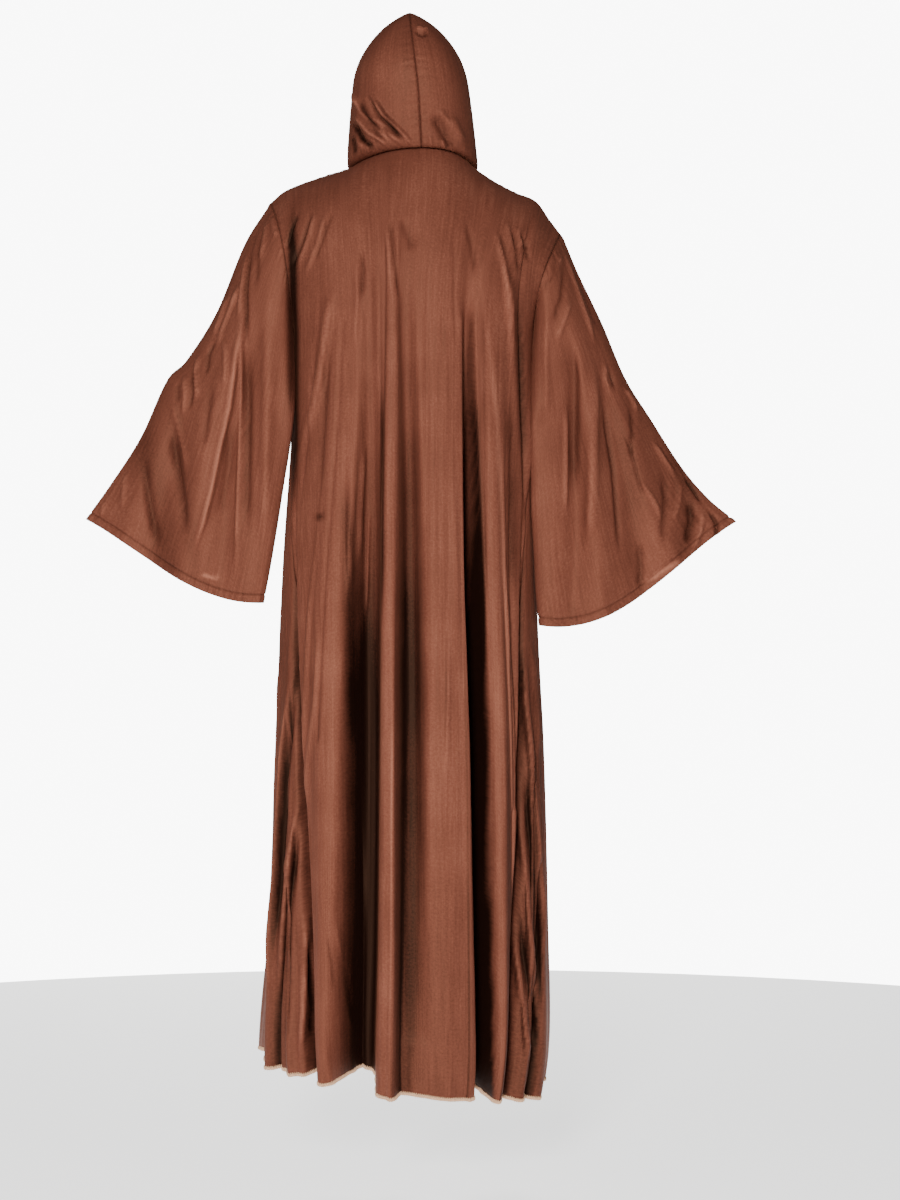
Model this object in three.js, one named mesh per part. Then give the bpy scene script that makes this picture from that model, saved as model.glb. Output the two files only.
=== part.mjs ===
// A long hooded robe with set-in bell sleeves and an open front, filled out as it hangs on its wearer.
// Millimetres, +Z up. The front faces -Y and the wearer's left is +X. The origin is the middle of the
// neck opening, level with the tops of the shoulder seams, where the wearer's shoulders carry it.
// Every panel is a thin wall on one smooth sheet of points, and panels that are sewn together share
// the points of their seam, less a small gap.
import * as THREE from "three";

// Driving dimensions
const WALL = 2;
const SEAM_GAP = 0.4;
const UNDERARM_Z = -265;
const HEM_Z = -1418;
const HEM_TILT = 26; // the hem hangs higher on the wearer's left
const HEM_DIP_BACK = 6;
const HEM_DROOP = 0.25; // a fold that stands out also hangs lower, by this share of its height
const RING_POWER = 0.88; // below 1 makes the plan of the body a little squarer than an ellipse
const FOLD_GIRTH = 190; // turns an angle round the body into a distance for the folds' widths
const FRONT_GAP_TOP = 14; // half the gap between the front edges at the throat
const FRONT_GAP_HEM = 46;

// Neck opening
const NECK_HALF_WIDTH = 88;
const NECK_BACK = 66;
const NECK_FRONT = 80;
const NECK_SIDE_Z = -4;
const NECK_POINTED = 1.5; // above 1 gives the neck opening a corner at each shoulder seam
const NAPE_Z = 21;
const THROAT_Z = -62;
const NAPE_SHIFT = -14; // the yoke sits a little round to the wearer's right
const THROAT_ANGLE = 171; // from the centre back, where the front edge meets the neckline

// Mesh counts
const NECK_BACK_COLUMNS = 12;
const NECK_FRONT_COLUMNS = 8;
const BODY_ROWS = 11;
const ARMHOLE_ROWS = 8;
const SLEEVE_PER_ROW = 2; // sleeve columns for each row of the armhole
const SLEEVE_ROWS = 15;
const SLEEVE_HEM = 16;
const SLEEVE_HEM_WALL = 3.6; // the turned hem is two layers of cloth
const HOOD_ROWS = 12;

// Half widths and depths of the body at each height, from the centre line, before the folds.
const BODY_LEVELS = [
  { z: -265, left: 187, right: 189, back: 140, front: 128 },
  { z: -400, left: 188, right: 188, back: 142, front: 134 },
  { z: -600, left: 201, right: 190, back: 148, front: 138 },
  { z: -750, left: 209, right: 196, back: 154, front: 142 },
  { z: -900, left: 213, right: 204, back: 160, front: 146 },
  { z: -1200, left: 222, right: 209, back: 174, front: 156 },
  { z: -1370, left: 235, right: 210, back: 184, front: 163 },
  { z: -1460, left: 232, right: 200, back: 188, front: 167 },
];

// Where the side seams run, in degrees from the centre back.
const SIDE_SEAMS = [
  { z: -265, left: 86, right: 86 },
  { z: -420, left: 82, right: 77 },
  { z: -600, left: 66, right: 64 },
  { z: -750, left: 56, right: 58 },
  { z: -1000, left: 48, right: 50 },
  { z: -1200, left: 43, right: 46 },
  { z: -1460, left: 36, right: 37 },
];

// Columns of the back panel on each side: from one angle to the next, in equal steps. The last zone
// of a side ends at its seam.
const BACK_ZONES = {
  left: [{ from: 24, columns: 12 }],
  right: [
    { from: 24, columns: 5 },
    { from: 33, columns: 8 },
  ],
};
const NECK_ZONE = 24;

// Shoulder seams from the neck point out to the shoulder point.
const SHOULDER_SEAMS = {
  left: [
    { at: 0, x: 88, z: -4 },
    { at: 0.4, x: 142, z: -19 },
    { at: 0.82, x: 200, z: -41 },
    { at: 1, x: 223, z: -60 },
  ],
  right: [
    { at: 0, x: 88, z: -4 },
    { at: 0.25, x: 125, z: -26 },
    { at: 0.5, x: 161, z: -44 },
    { at: 0.72, x: 193, z: -58 },
    { at: 0.9, x: 215, z: -88 },
    { at: 1, x: 231, z: -109 },
  ],
};

// How a panel leaves its top edge (lean) and how it arrives at the underarm level (rise), for the
// centre, the neck point and the shoulder point. x is measured towards the outside.
const NECK_POINT = 0.35; // where the neck point lies between the centre (0) and the shoulder point (1)
const TOP_EASE = {
  back: [
    { at: 0, leanX: 0, leanY: 44, leanZ: -50, riseX: 0, riseY: 0, riseZ: 110 },
    { at: 0.22, leanX: 14, leanY: 66, leanZ: -34, riseX: 0, riseY: 0, riseZ: 120 },
    { at: 0.35, leanX: 34, leanY: 84, leanZ: -14, riseX: 0, riseY: 2, riseZ: 125 },
    { at: 0.52, leanX: 20, leanY: 88, leanZ: -22, riseX: 0, riseY: 10, riseZ: 118 },
    { at: 0.8, leanX: -4, leanY: 84, leanZ: -38, riseX: 0, riseY: 26, riseZ: 100 },
    { at: 1, leanX: -23, leanY: 90, leanZ: -55, riseX: 1, riseY: 60, riseZ: 72 },
  ],
  front: [
    { at: 0, leanX: 2, leanY: -34, leanZ: -56, riseX: 0, riseY: 0, riseZ: 100 },
    { at: 0.22, leanX: 12, leanY: -50, leanZ: -44, riseX: 0, riseY: 0, riseZ: 105 },
    { at: 0.35, leanX: 26, leanY: -62, leanZ: -32, riseX: 0, riseY: -2, riseZ: 110 },
    { at: 0.52, leanX: 16, leanY: -70, leanZ: -36, riseX: 0, riseY: -8, riseZ: 106 },
    { at: 0.8, leanX: -4, leanY: -70, leanZ: -46, riseX: 0, riseY: -22, riseZ: 92 },
    { at: 1, leanX: -22, leanY: -76, leanZ: -58, riseX: 1, riseY: -54, riseZ: 68 },
  ],
};

// Hanging folds, from the back round to both fronts. Each has its angle from the centre back at its
// top, in its middle and at the hem, its half width and how far it stands out (or in, below 0). It
// starts from nothing at the top. Sides that are crisp 4 are steep round a flat bed, 2 is a soft wave.
const FOLDS_END = -1460;
const BODY_FOLDS = [
  // The back, from the wearer's left: a broad fold, a trough, the ridge at the spine, a trough
  { top: 36, topZ: -180, mid: 36, midZ: -750, low: 30, wide: 24, lowWide: 18, high: 9, lowHigh: 16 },
  { top: 21, topZ: -130, mid: 18, midZ: -750, low: 16, wide: 17, lowWide: 19, high: -20, lowHigh: -40 },
  { top: 7, topZ: -90, mid: 7.3, midZ: -700, low: 7, wide: 10, lowWide: 12, high: 13, lowHigh: 21 },
  { top: 2.5, topZ: -150, mid: 1, midZ: -750, low: 0.5, wide: 13, lowWide: 14, high: -15, lowHigh: -9 },
  // On to the right: a broad flat fold, the deep pleat with its ridge, and a valley at the armpit
  { top: -11, topZ: -200, mid: -11, midZ: -750, low: -11, wide: 34, lowWide: 38, high: 5, lowHigh: 12 },
  { top: -24, topZ: -160, mid: -26, midZ: -650, low: -26,
    wide: 11, lowWide: 12, high: -32, lowHigh: -42, crisp: 4 },
  { top: -39, topZ: -230, mid: -40, midZ: -700, low: -33, wide: 20, lowWide: 13, high: 9, lowHigh: 15 },
  { top: -56, topZ: -200, mid: -67, midZ: -400, low: -74,
    wide: 9, lowWide: 9, high: -12, lowHigh: 0, end: -640 },
  // Both side seams lie in valleys, with a fold of the front beside each
  { top: 66, topZ: -600, mid: 47, midZ: -1030, low: 38, wide: 11, lowWide: 15, high: -15, lowHigh: -30 },
  { top: -64, topZ: -560, mid: -49, midZ: -1030, low: -39.5, wide: 11, lowWide: 13, high: -15, lowHigh: -28 },
  { top: 60, topZ: -700, mid: 70, midZ: -1050, low: 62, wide: 15, lowWide: 20, high: 8, lowHigh: 15 },
  { top: -66, topZ: -700, mid: -66, midZ: -1050, low: -64, wide: 15, lowWide: 20, high: 8, lowHigh: 15 },
  // Round the left front to its edge
  { top: 84, topZ: -620, mid: 86, midZ: -1000, low: 84, wide: 16, lowWide: 18, high: -9, lowHigh: -16 },
  { top: 102, topZ: -420, mid: 104, midZ: -900, low: 103, wide: 20, lowWide: 22, high: 9, lowHigh: 15 },
  { top: 124, topZ: -240, mid: 125, midZ: -800, low: 124, wide: 17, lowWide: 19, high: -17, lowHigh: -33 },
  { top: 140, topZ: -200, mid: 143, midZ: -800, low: 143, wide: 18, lowWide: 20, high: 10, lowHigh: 18 },
  { top: 160, topZ: -260, mid: 159, midZ: -800, low: 158, wide: 14, lowWide: 15, high: -10, lowHigh: -22 },
  // Round the right front to its edge
  { top: -86, topZ: -700, mid: -87, midZ: -1050, low: -87, wide: 16, lowWide: 18, high: -8, lowHigh: -15 },
  { top: -104, topZ: -460, mid: -107, midZ: -900, low: -108, wide: 20, lowWide: 23, high: 9, lowHigh: 16 },
  { top: -128, topZ: -260, mid: -130, midZ: -820, low: -131, wide: 17, lowWide: 18, high: -18, lowHigh: -31 },
  { top: -146, topZ: -220, mid: -149, midZ: -800, low: -149, wide: 17, lowWide: 19, high: 9, lowHigh: 17 },
  { top: -163, topZ: -300, mid: -164, midZ: -850, low: -163, wide: 12, lowWide: 13, high: -8, lowHigh: -18 },
];

// Sleeves: the line over the top of the arm and the line under the sleeve, from the armhole (at 0)
// to the cuff (at 1), and how deep the sleeve is from front to back. x is towards the outside.
const SLEEVE_LINES = {
  left: [
    { at: 0, topX: 223, topZ: -60, lowX: 187, lowZ: -265, deepTop: 60, deepLow: 30 },
    { at: 0.12, topX: 259, topZ: -117, lowX: 187, lowZ: -318, deepTop: 60, deepLow: 26 },
    { at: 0.3, topX: 307, topZ: -230, lowX: 189, lowZ: -388, deepTop: 58, deepLow: 24 },
    { at: 0.48, topX: 357, topZ: -309, lowX: 202, lowZ: -458, deepTop: 57, deepLow: 26 },
    { at: 0.56, topX: 385, topZ: -336, lowX: 209, lowZ: -494, deepTop: 55, deepLow: 27 },
    { at: 0.72, topX: 428, topZ: -428, lowX: 221, lowZ: -564, deepTop: 52, deepLow: 28 },
    { at: 0.88, topX: 480, topZ: -508, lowX: 230, lowZ: -635, deepTop: 48, deepLow: 29 },
    { at: 1, topX: 515, topZ: -556, lowX: 237, lowZ: -687, deepTop: 42, deepLow: 28 },
  ],
  right: [
    { at: 0, topX: 231, topZ: -109, lowX: 189, lowZ: -265, deepTop: 58, deepLow: 30 },
    { at: 0.12, topX: 254, topZ: -163, lowX: 187, lowZ: -330, deepTop: 60, deepLow: 27 },
    { at: 0.3, topX: 296, topZ: -250, lowX: 187, lowZ: -404, deepTop: 58, deepLow: 25 },
    { at: 0.48, topX: 333, topZ: -336, lowX: 188, lowZ: -480, deepTop: 56, deepLow: 26 },
    { at: 0.62, topX: 372, topZ: -398, lowX: 190, lowZ: -540, deepTop: 55, deepLow: 27 },
    { at: 0.78, topX: 424, topZ: -478, lowX: 194, lowZ: -614, deepTop: 52, deepLow: 28 },
    { at: 0.9, topX: 466, topZ: -526, lowX: 198, lowZ: -672, deepTop: 48, deepLow: 29 },
    { at: 1, topX: 508, topZ: -560, lowX: 202, lowZ: -722, deepTop: 42, deepLow: 28 },
  ],
};
const SLEEVE_SIZES = {
  left: { step: 9, fadeTo: 0.4, forward: 16, lowBack: 40, hemBow: 22 },
  right: { step: 9, fadeTo: 0.4, forward: 14, lowBack: 44, hemBow: 34 },
};
const SLEEVE_LENGTH = 480; // along the middle, for the height of the turned hem
const HEM_BOW_SLANT = 0.35; // the cuff's bow points outwards by this share of its drop
const SLEEVE_HANG = 0.4; // how much the columns swing from along the arm towards straight down
const SLEEVE_DIP = { over: 60, under: 17 }; // degrees down, as the cloth leaves the armhole
const SLEEVE_UNDER_STEP = 0.55; // the first step under the arm, against the one over it
const SLEEVE_FOLD_GROWS = 0.4; // the share of its track over which a fold grows
const SLEEVE_FOLD_FADES = 0.35; // and the share past its end over which it fades

// Folds of the sleeves, each a straight track from one place along the sleeve (at) and down from
// its top line (down 0) to its under line (down 1) to another, on the back or the front of it.
const SLEEVE_FOLDS = {
  left: [
    { face: "back", at: 0.12, down: 0.2, toAt: 1, toDown: 0.58, wide: 22, high: 9 },
    { face: "back", at: 0.16, down: 0.42, toAt: 1, toDown: 0.8, wide: 22, high: -10 },
    { face: "back", at: 0.1, down: 0.6, toAt: 0.7, toDown: 0.95, wide: 18, high: 5 },
    { face: "back", at: 0.48, down: 0.15, toAt: 1, toDown: 0.4, wide: 21, high: -9 },
    { face: "back", at: 0.55, down: 0.03, toAt: 1, toDown: 0.22, wide: 20, high: 6 },
    { face: "front", at: 0.15, down: 0.3, toAt: 1, toDown: 0.7, wide: 23, high: 8 },
    { face: "front", at: 0.15, down: 0.12, toAt: 1, toDown: 0.5, wide: 22, high: -9 },
    { face: "front", at: 0.4, down: 0.1, toAt: 1, toDown: 0.3, wide: 22, high: 7 },
  ],
  right: [
    { face: "back", at: 0.08, down: 0.2, toAt: 1, toDown: 0.72, wide: 21, high: 9 },
    { face: "back", at: 0.14, down: 0.38, toAt: 1, toDown: 0.88, wide: 19, high: -9 },
    { face: "back", at: 0.3, down: 0.12, toAt: 1, toDown: 0.52, wide: 21, high: -8 },
    { face: "back", at: 0.34, down: 0.06, toAt: 1, toDown: 0.34, wide: 21, high: 8 },
    { face: "back", at: 0.62, down: 0.04, toAt: 1, toDown: 0.17, wide: 17, high: -6 },
    { face: "front", at: 0.12, down: 0.25, toAt: 1, toDown: 0.66, wide: 23, high: 9 },
    { face: "front", at: 0.2, down: 0.42, toAt: 1, toDown: 0.84, wide: 20, high: -8 },
    { face: "front", at: 0.35, down: 0.1, toAt: 1, toDown: 0.38, wide: 22, high: -9 },
  ],
};

// The hood from the neck seam (0) to the ridge (1): its front edge, its widest line at the side, and
// its centre back seam, with the sideways drift of the seam and of the whole section (centre).
const HOOD_FRONT = [
  { at: 0, x: 14, y: -79, z: -62 },
  { at: 0.07, x: 30, y: -90, z: -46 },
  { at: 0.2, x: 62, y: -99, z: -8 },
  { at: 0.4, x: 82, y: -103, z: 60 },
  { at: 0.6, x: 80, y: -104, z: 116 },
  { at: 0.75, x: 68, y: -106, z: 154 },
  { at: 0.88, x: 43, y: -108, z: 184 },
  { at: 0.96, x: 17, y: -110, z: 200 },
  { at: 1, x: 0, y: -111, z: 206 },
];
const HOOD_SIDE = [
  { at: 0, x: 88, y: 0, z: -4 },
  { at: 0.07, x: 101, y: 0, z: 8 },
  { at: 0.2, x: 98, y: -2, z: 45 },
  { at: 0.4, x: 93, y: -2, z: 94 },
  { at: 0.6, x: 87, y: -2, z: 136 },
  { at: 0.75, x: 74, y: -2, z: 168 },
  { at: 0.88, x: 50, y: -2, z: 199 },
  { at: 0.96, x: 22, y: -2, z: 219 },
  { at: 1, x: 0, y: -2, z: 226 },
];
const HOOD_BACK = [
  { at: 0, x: -14, y: 66, z: 21, centre: 0 },
  { at: 0.07, x: -14, y: 79, z: 28, centre: 1 },
  { at: 0.2, x: -12, y: 96, z: 60, centre: 2 },
  { at: 0.4, x: -9, y: 110, z: 106, centre: 3 },
  { at: 0.6, x: -4, y: 110, z: 148, centre: 4 },
  { at: 0.75, x: 0, y: 99, z: 181, centre: 4 },
  { at: 0.88, x: 3, y: 80, z: 208, centre: 4 },
  { at: 0.96, x: 4, y: 60, z: 223, centre: 4 },
  { at: 1, x: 4, y: 46, z: 229, centre: 4 },
];
const HOOD_BACK_ROUND = 0.8;
const HOOD_SEAM_EASE = 1.3;

const CLOTH = new THREE.MeshStandardMaterial({ color: 0x87503f, roughness: 0.5, metalness: 0 });

const rad = THREE.MathUtils.degToRad;
const lerp = THREE.MathUtils.lerp;
const clamp = THREE.MathUtils.clamp;
const smooth = (t) => THREE.MathUtils.smoothstep(t, 0, 1);
const powered = (c, power) => Math.sign(c) * Math.abs(c) ** power;
const sideName = (side) => (side > 0 ? "left" : "right");

// A column of a table read at any place, as a smooth curve through the rows.
function read(table, key, column, at) {
  const falling = table[1][key] < table[0][key];
  const ahead = (a, b) => (falling ? a < b : a > b);
  const last = table.length - 1;
  const first = table[0][key];
  const end = table[last][key];
  if (!ahead(at, first)) return table[0][column];
  if (!ahead(end, at)) return table[last][column];
  let i = 0;
  while (ahead(at, table[i + 1][key])) i++;
  const slope = (j) => {
    const a = table[Math.max(j - 1, 0)];
    const b = table[Math.min(j + 1, last)];
    return (b[column] - a[column]) / (b[key] - a[key]);
  };
  const a = table[i];
  const b = table[i + 1];
  const h = b[key] - a[key];
  const t = (at - a[key]) / h;
  const t2 = t * t;
  const t3 = t2 * t;
  return (
    (2 * t3 - 3 * t2 + 1) * a[column] +
    (t3 - 2 * t2 + t) * h * slope(i) +
    (3 * t2 - 2 * t3) * b[column] +
    (t3 - t2) * h * slope(i + 1)
  );
}

// How far the hanging folds push the cloth out at an angle and height.
function bodyFold(angle, z) {
  let out = 0;
  for (const f of BODY_FOLDS) {
    const end = f.end ?? FOLDS_END;
    if (z >= f.topZ || z < end) continue;
    const stations = [
      { z: f.topZ, angle: f.top, wide: f.wide, high: 0 },
      { z: f.midZ, angle: f.mid, wide: f.wide, high: f.high },
      { z: end, angle: f.low, wide: f.lowWide, high: f.lowHigh },
    ];
    const away = rad(angle - read(stations, "z", "angle", z)) * FOLD_GIRTH;
    const share = Math.abs(away) / read(stations, "z", "wide", z);
    if (share < 3) out += read(stations, "z", "high", z) * Math.exp(-(share ** (f.crisp ?? 2)));
  }
  return out;
}

// A point of the body at an angle from the centre back and a height, folds included.
function ringPoint(angle, z) {
  const level = (column) => read(BODY_LEVELS, "z", column, z);
  const s = powered(Math.sin(rad(angle)), RING_POWER);
  const c = powered(Math.cos(rad(angle)), RING_POWER);
  const wide = s >= 0 ? level("left") : level("right");
  const deep = c >= 0 ? level("back") : level("front");
  const out = new THREE.Vector3(Math.sin(rad(angle)) / wide, Math.cos(rad(angle)) / deep, 0).normalize();
  return new THREE.Vector3(wide * s, deep * c, z).addScaledVector(out, bodyFold(angle, z));
}

function hemZ(angle) {
  const level = HEM_Z + HEM_TILT * Math.sin(rad(angle)) - HEM_DIP_BACK * Math.cos(rad(angle));
  return level - HEM_DROOP * bodyFold(angle, level);
}

// The angle of the front edge, which swings open a little towards the hem.
function frontEdgeAngle(z) {
  const open = lerp(FRONT_GAP_TOP, FRONT_GAP_HEM, clamp(z / HEM_Z, 0, 1));
  const wide = read(BODY_LEVELS, "z", "left", z);
  return 180 - THREE.MathUtils.radToDeg(Math.asin((open / wide) ** (1 / RING_POWER)));
}

const seamAngle = (side, z) => read(SIDE_SEAMS, "z", sideName(side), z);

// Neckline at an angle from the centre back (0) to the throat.
function necklinePoint(angle) {
  const s = Math.sin(rad(Math.abs(angle)));
  const c = Math.cos(rad(angle));
  const y = c >= 0 ? NECK_BACK * powered(c, NECK_POINTED) : NECK_FRONT * powered(c, NECK_POINTED);
  const rise = c >= 0 ? NAPE_Z - NECK_SIDE_Z : THROAT_Z - NECK_SIDE_Z;
  const x = Math.sign(angle) * NECK_HALF_WIDTH * s + NAPE_SHIFT * Math.max(c, 0) ** 2;
  return new THREE.Vector3(x, y, NECK_SIDE_Z + rise * Math.abs(c) ** 1.5);
}

// Spreads the columns round the back of the neck, where the edge turns from sideways to forwards.
const neckAngle = (share) => 45 * share + 0.5 * THREE.MathUtils.radToDeg(Math.asin(share));

function shoulderPoint(side, at) {
  const seam = SHOULDER_SEAMS[sideName(side)];
  return new THREE.Vector3(side * read(seam, "at", "x", at), 0, read(seam, "at", "z", at));
}

// Between the underarm level and the top edge each column is one curve.
function upperPoint(angle, { top, outward }, ease, t) {
  const get = (column) => read(TOP_EASE[ease], "at", column, outward);
  const foot = ringPoint(angle, UNDERARM_Z);
  const side = Math.sign(angle) || 1;
  const rise = new THREE.Vector3(side * get("riseX"), get("riseY"), get("riseZ")).add(foot);
  const lean = new THREE.Vector3(side * get("leanX"), get("leanY"), get("leanZ")).add(top);
  const p = new THREE.CubicBezierCurve3(foot, rise, lean, top).getPoint(t);
  const facing = ease === "back" ? 1 : -1;
  const settle = bodyFold(angle, p.z) - bodyFold(angle, UNDERARM_Z) * (1 - t);
  return p.add(new THREE.Vector3(0, facing * settle * (1 - smooth(t)), 0));
}

// One panel of the body as rows of points from the hem up. Each column has an angle at any height,
// a top point, and its place from the centre (0) to the shoulder point (1).
function bodyPanel(columns, ease) {
  const rows = [];
  for (let r = 0; r <= BODY_ROWS; r++) {
    rows.push(
      columns.map((column) => {
        const foot = hemZ(column.angleAt(HEM_Z));
        const z = lerp(foot, UNDERARM_Z, r / BODY_ROWS);
        return ringPoint(column.angleAt(z), z);
      }),
    );
  }
  for (let r = 1; r <= ARMHOLE_ROWS; r++) {
    rows.push(
      columns.map((column) => {
        const angle = column.angleAt(UNDERARM_Z);
        return upperPoint(angle, column, ease, r / ARMHOLE_ROWS);
      }),
    );
  }
  return rows;
}

// Half of the back's columns, from the centre out to the seam.
function backHalf(side) {
  const zones = BACK_ZONES[sideName(side)];
  const columns = [];
  for (let i = 0; i <= NECK_BACK_COLUMNS; i++) {
    const t = i / NECK_BACK_COLUMNS;
    const top = necklinePoint(side * neckAngle(t));
    columns.push({ angleAt: () => side * NECK_ZONE * t, top, outward: NECK_POINT * t });
  }
  const total = zones.reduce((sum, zone) => sum + zone.columns, 0);
  let done = 0;
  zones.forEach((zone, k) => {
    const next = zones[k + 1];
    for (let i = 1; i <= zone.columns; i++) {
      const t = i / zone.columns;
      done += 1;
      const share = done / total;
      columns.push({
        angleAt: (z) => side * lerp(zone.from, next ? next.from : seamAngle(side, z), t),
        top: shoulderPoint(side, share),
        outward: lerp(NECK_POINT, 1, share),
      });
    }
  });
  return columns;
}

// A front's columns, from the side seam to the front edge.
function frontColumns(side) {
  const shoulder = BACK_ZONES[sideName(side)].reduce((sum, zone) => sum + zone.columns, 0);
  const total = shoulder + NECK_FRONT_COLUMNS;
  const columns = [];
  for (let i = 0; i <= total; i++) {
    const onNeck = i > shoulder;
    const t = onNeck ? (i - shoulder) / NECK_FRONT_COLUMNS : i / shoulder;
    columns.push({
      angleAt: (z) => side * lerp(seamAngle(side, z), frontEdgeAngle(z), i / total),
      top: onNeck ? necklinePoint(side * lerp(90, THROAT_ANGLE, t)) : shoulderPoint(side, 1 - t),
      outward: onNeck ? NECK_POINT * (1 - t) : lerp(1, NECK_POINT, t),
    });
  }
  return columns;
}

// The armhole as a closed run of points from the underarm up the back and down the front.
function armhole(backRows, frontRows, side) {
  const rows = Array.from({ length: ARMHOLE_ROWS + 1 }, (_, i) => BODY_ROWS + i);
  const backEdge = rows.map((r) => backRows[r][side > 0 ? 0 : backRows[r].length - 1]);
  const frontEdge = rows.map((r) => frontRows[r][side > 0 ? frontRows[r].length - 1 : 0]);
  return [...backEdge, ...frontEdge.slice(1, -1).reverse()];
}

// How far the folds push a sleeve's cloth out. The share down is from the top line to the under
// line, which lie some distance apart.
function sleeveFold(side, face, at, down, apart) {
  let out = 0;
  for (const f of SLEEVE_FOLDS[sideName(side)]) {
    if (f.face !== face || at <= f.at) continue;
    const t = (at - f.at) / (f.toAt - f.at);
    const share = ((down - lerp(f.down, f.toDown, t)) * apart) / f.wide;
    const ends = smooth(t / SLEEVE_FOLD_GROWS) * smooth(1 + (1 - t) / SLEEVE_FOLD_FADES);
    out += f.high * ends * Math.exp(-share * share);
  }
  return out;
}

// A sleeve as rings from the armhole to the cuff. The ring starts under the arm and goes up the back.
function sleeveRings(side, hole) {
  const lines = SLEEVE_LINES[sideName(side)];
  const size = SLEEVE_SIZES[sideName(side)];
  const n = hole.length * SLEEVE_PER_ROW;
  const held = Array.from({ length: n }, (_, i) => {
    const a = hole[Math.floor(i / SLEEVE_PER_ROW)];
    const b = hole[(Math.floor(i / SLEEVE_PER_ROW) + 1) % hole.length];
    return a.clone().lerp(b, (i % SLEEVE_PER_ROW) / SLEEVE_PER_ROW);
  });
  // One point of the free sleeve: turn 0 is under the arm, 0.5 over it.
  const free = (turn, at) => {
    const get = (column) => read(lines, "at", column, at);
    const fromTop = ((1 + Math.cos(2 * Math.PI * turn)) / 2) ** (1 - SLEEVE_HANG * at);
    const face = Math.sin(2 * Math.PI * turn);
    const deep = lerp(get("deepTop"), get("deepLow"), fromTop);
    const bow = size.hemBow * at ** 4 * Math.abs(face);
    const x = lerp(get("topX"), get("lowX"), fromTop) + HEM_BOW_SLANT * bow;
    const z = lerp(get("topZ"), get("lowZ"), fromTop) - bow;
    const apart = Math.hypot(get("topX") - get("lowX"), get("topZ") - get("lowZ"));
    const fold = sleeveFold(side, face > 0 ? "back" : "front", at, fromTop, apart);
    const middle = size.lowBack * smooth(at * 3) * fromTop ** 2 - size.forward * at * (1 - fromTop);
    return new THREE.Vector3(side * x, middle + face * deep + Math.cbrt(face) * fold, z);
  };
  const steps = held.map((_, i) => {
    const under = (1 + Math.cos((2 * Math.PI * i) / n)) / 2;
    const dip = rad(lerp(SLEEVE_DIP.over, SLEEVE_DIP.under, under));
    const reach = size.step * lerp(1, SLEEVE_UNDER_STEP, under);
    return new THREE.Vector3(side * Math.cos(dip), 0, -Math.sin(dip)).multiplyScalar(reach);
  });
  const rings = [held];
  const hemStart = 1 - SLEEVE_HEM / SLEEVE_LENGTH;
  const stations = Array.from({ length: SLEEVE_ROWS }, (_, r) => (r / (SLEEVE_ROWS - 1)) * hemStart);
  for (const at of [...stations, 1]) {
    rings.push(
      held.map((p, i) => {
        const turn = i / n;
        const start = p.clone().add(steps[i]).sub(free(turn, 0));
        return free(turn, at).addScaledVector(start, 1 - smooth(at / size.fadeTo));
      }),
    );
  }
  return rings;
}

// Half of the hood: rows from the neck seam up, columns from the front edge round to the back seam.
function hoodHalf(side) {
  const rows = [];
  for (let r = 0; r <= HOOD_ROWS; r++) {
    const at = r <= 1 ? r * HOOD_SIDE[1].at : lerp(HOOD_SIDE[1].at, 1, (r - 1) / (HOOD_ROWS - 1));
    const [front, wide, back] = [HOOD_FRONT, HOOD_SIDE, HOOD_BACK].map(
      (table) => new THREE.Vector3(...["x", "y", "z"].map((column) => read(table, "at", column, at))),
    );
    const centre = read(HOOD_BACK, "at", "centre", at);
    front.x = side * front.x + centre;
    wide.x = side * wide.x + centre;
    const row = [];
    for (let i = 0; i < NECK_FRONT_COLUMNS; i++) {
      const t = i / NECK_FRONT_COLUMNS;
      const p = front.clone().lerp(wide, t);
      p.x = lerp(front.x, wide.x, Math.sin((t * Math.PI) / 2));
      row.push(p);
    }
    for (let i = 0; i <= NECK_BACK_COLUMNS; i++) {
      const turn = rad(90 - neckAngle(1 - i / NECK_BACK_COLUMNS));
      const x = lerp(back.x, wide.x, Math.cos(turn) ** HOOD_BACK_ROUND);
      const y = lerp(wide.y, back.y, Math.sin(turn) ** HOOD_BACK_ROUND);
      row.push(new THREE.Vector3(x, y, lerp(wide.z, back.z, 1 - Math.cos(turn) ** HOOD_SEAM_EASE)));
    }
    rows.push(row);
  }
  // The neck edge is the neckline itself.
  rows[0] = rows[0].map((_, i) => {
    const front = i < NECK_FRONT_COLUMNS;
    const t = front ? i / NECK_FRONT_COLUMNS : (i - NECK_FRONT_COLUMNS) / NECK_BACK_COLUMNS;
    return necklinePoint(side * (front ? lerp(THROAT_ANGLE, 90, t) : neckAngle(1 - t)));
  });
  return rows;
}

// The outward direction at each point of a grid, from its neighbours.
function gridNormals(rows, closed) {
  const n = rows[0].length;
  return rows.map((row, r) =>
    row.map((_, c) => {
      const before = closed ? row[(c + n - 1) % n] : row[Math.max(c - 1, 0)];
      const after = closed ? row[(c + 1) % n] : row[Math.min(c + 1, n - 1)];
      const below = rows[Math.max(r - 1, 0)][c];
      const above = rows[Math.min(r + 1, rows.length - 1)][c];
      return after.clone().sub(before).cross(above.clone().sub(below)).normalize();
    }),
  );
}

const placeOf = (p) => [p.x, p.y, p.z].map((v) => Math.round(v * 100)).join();

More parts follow.
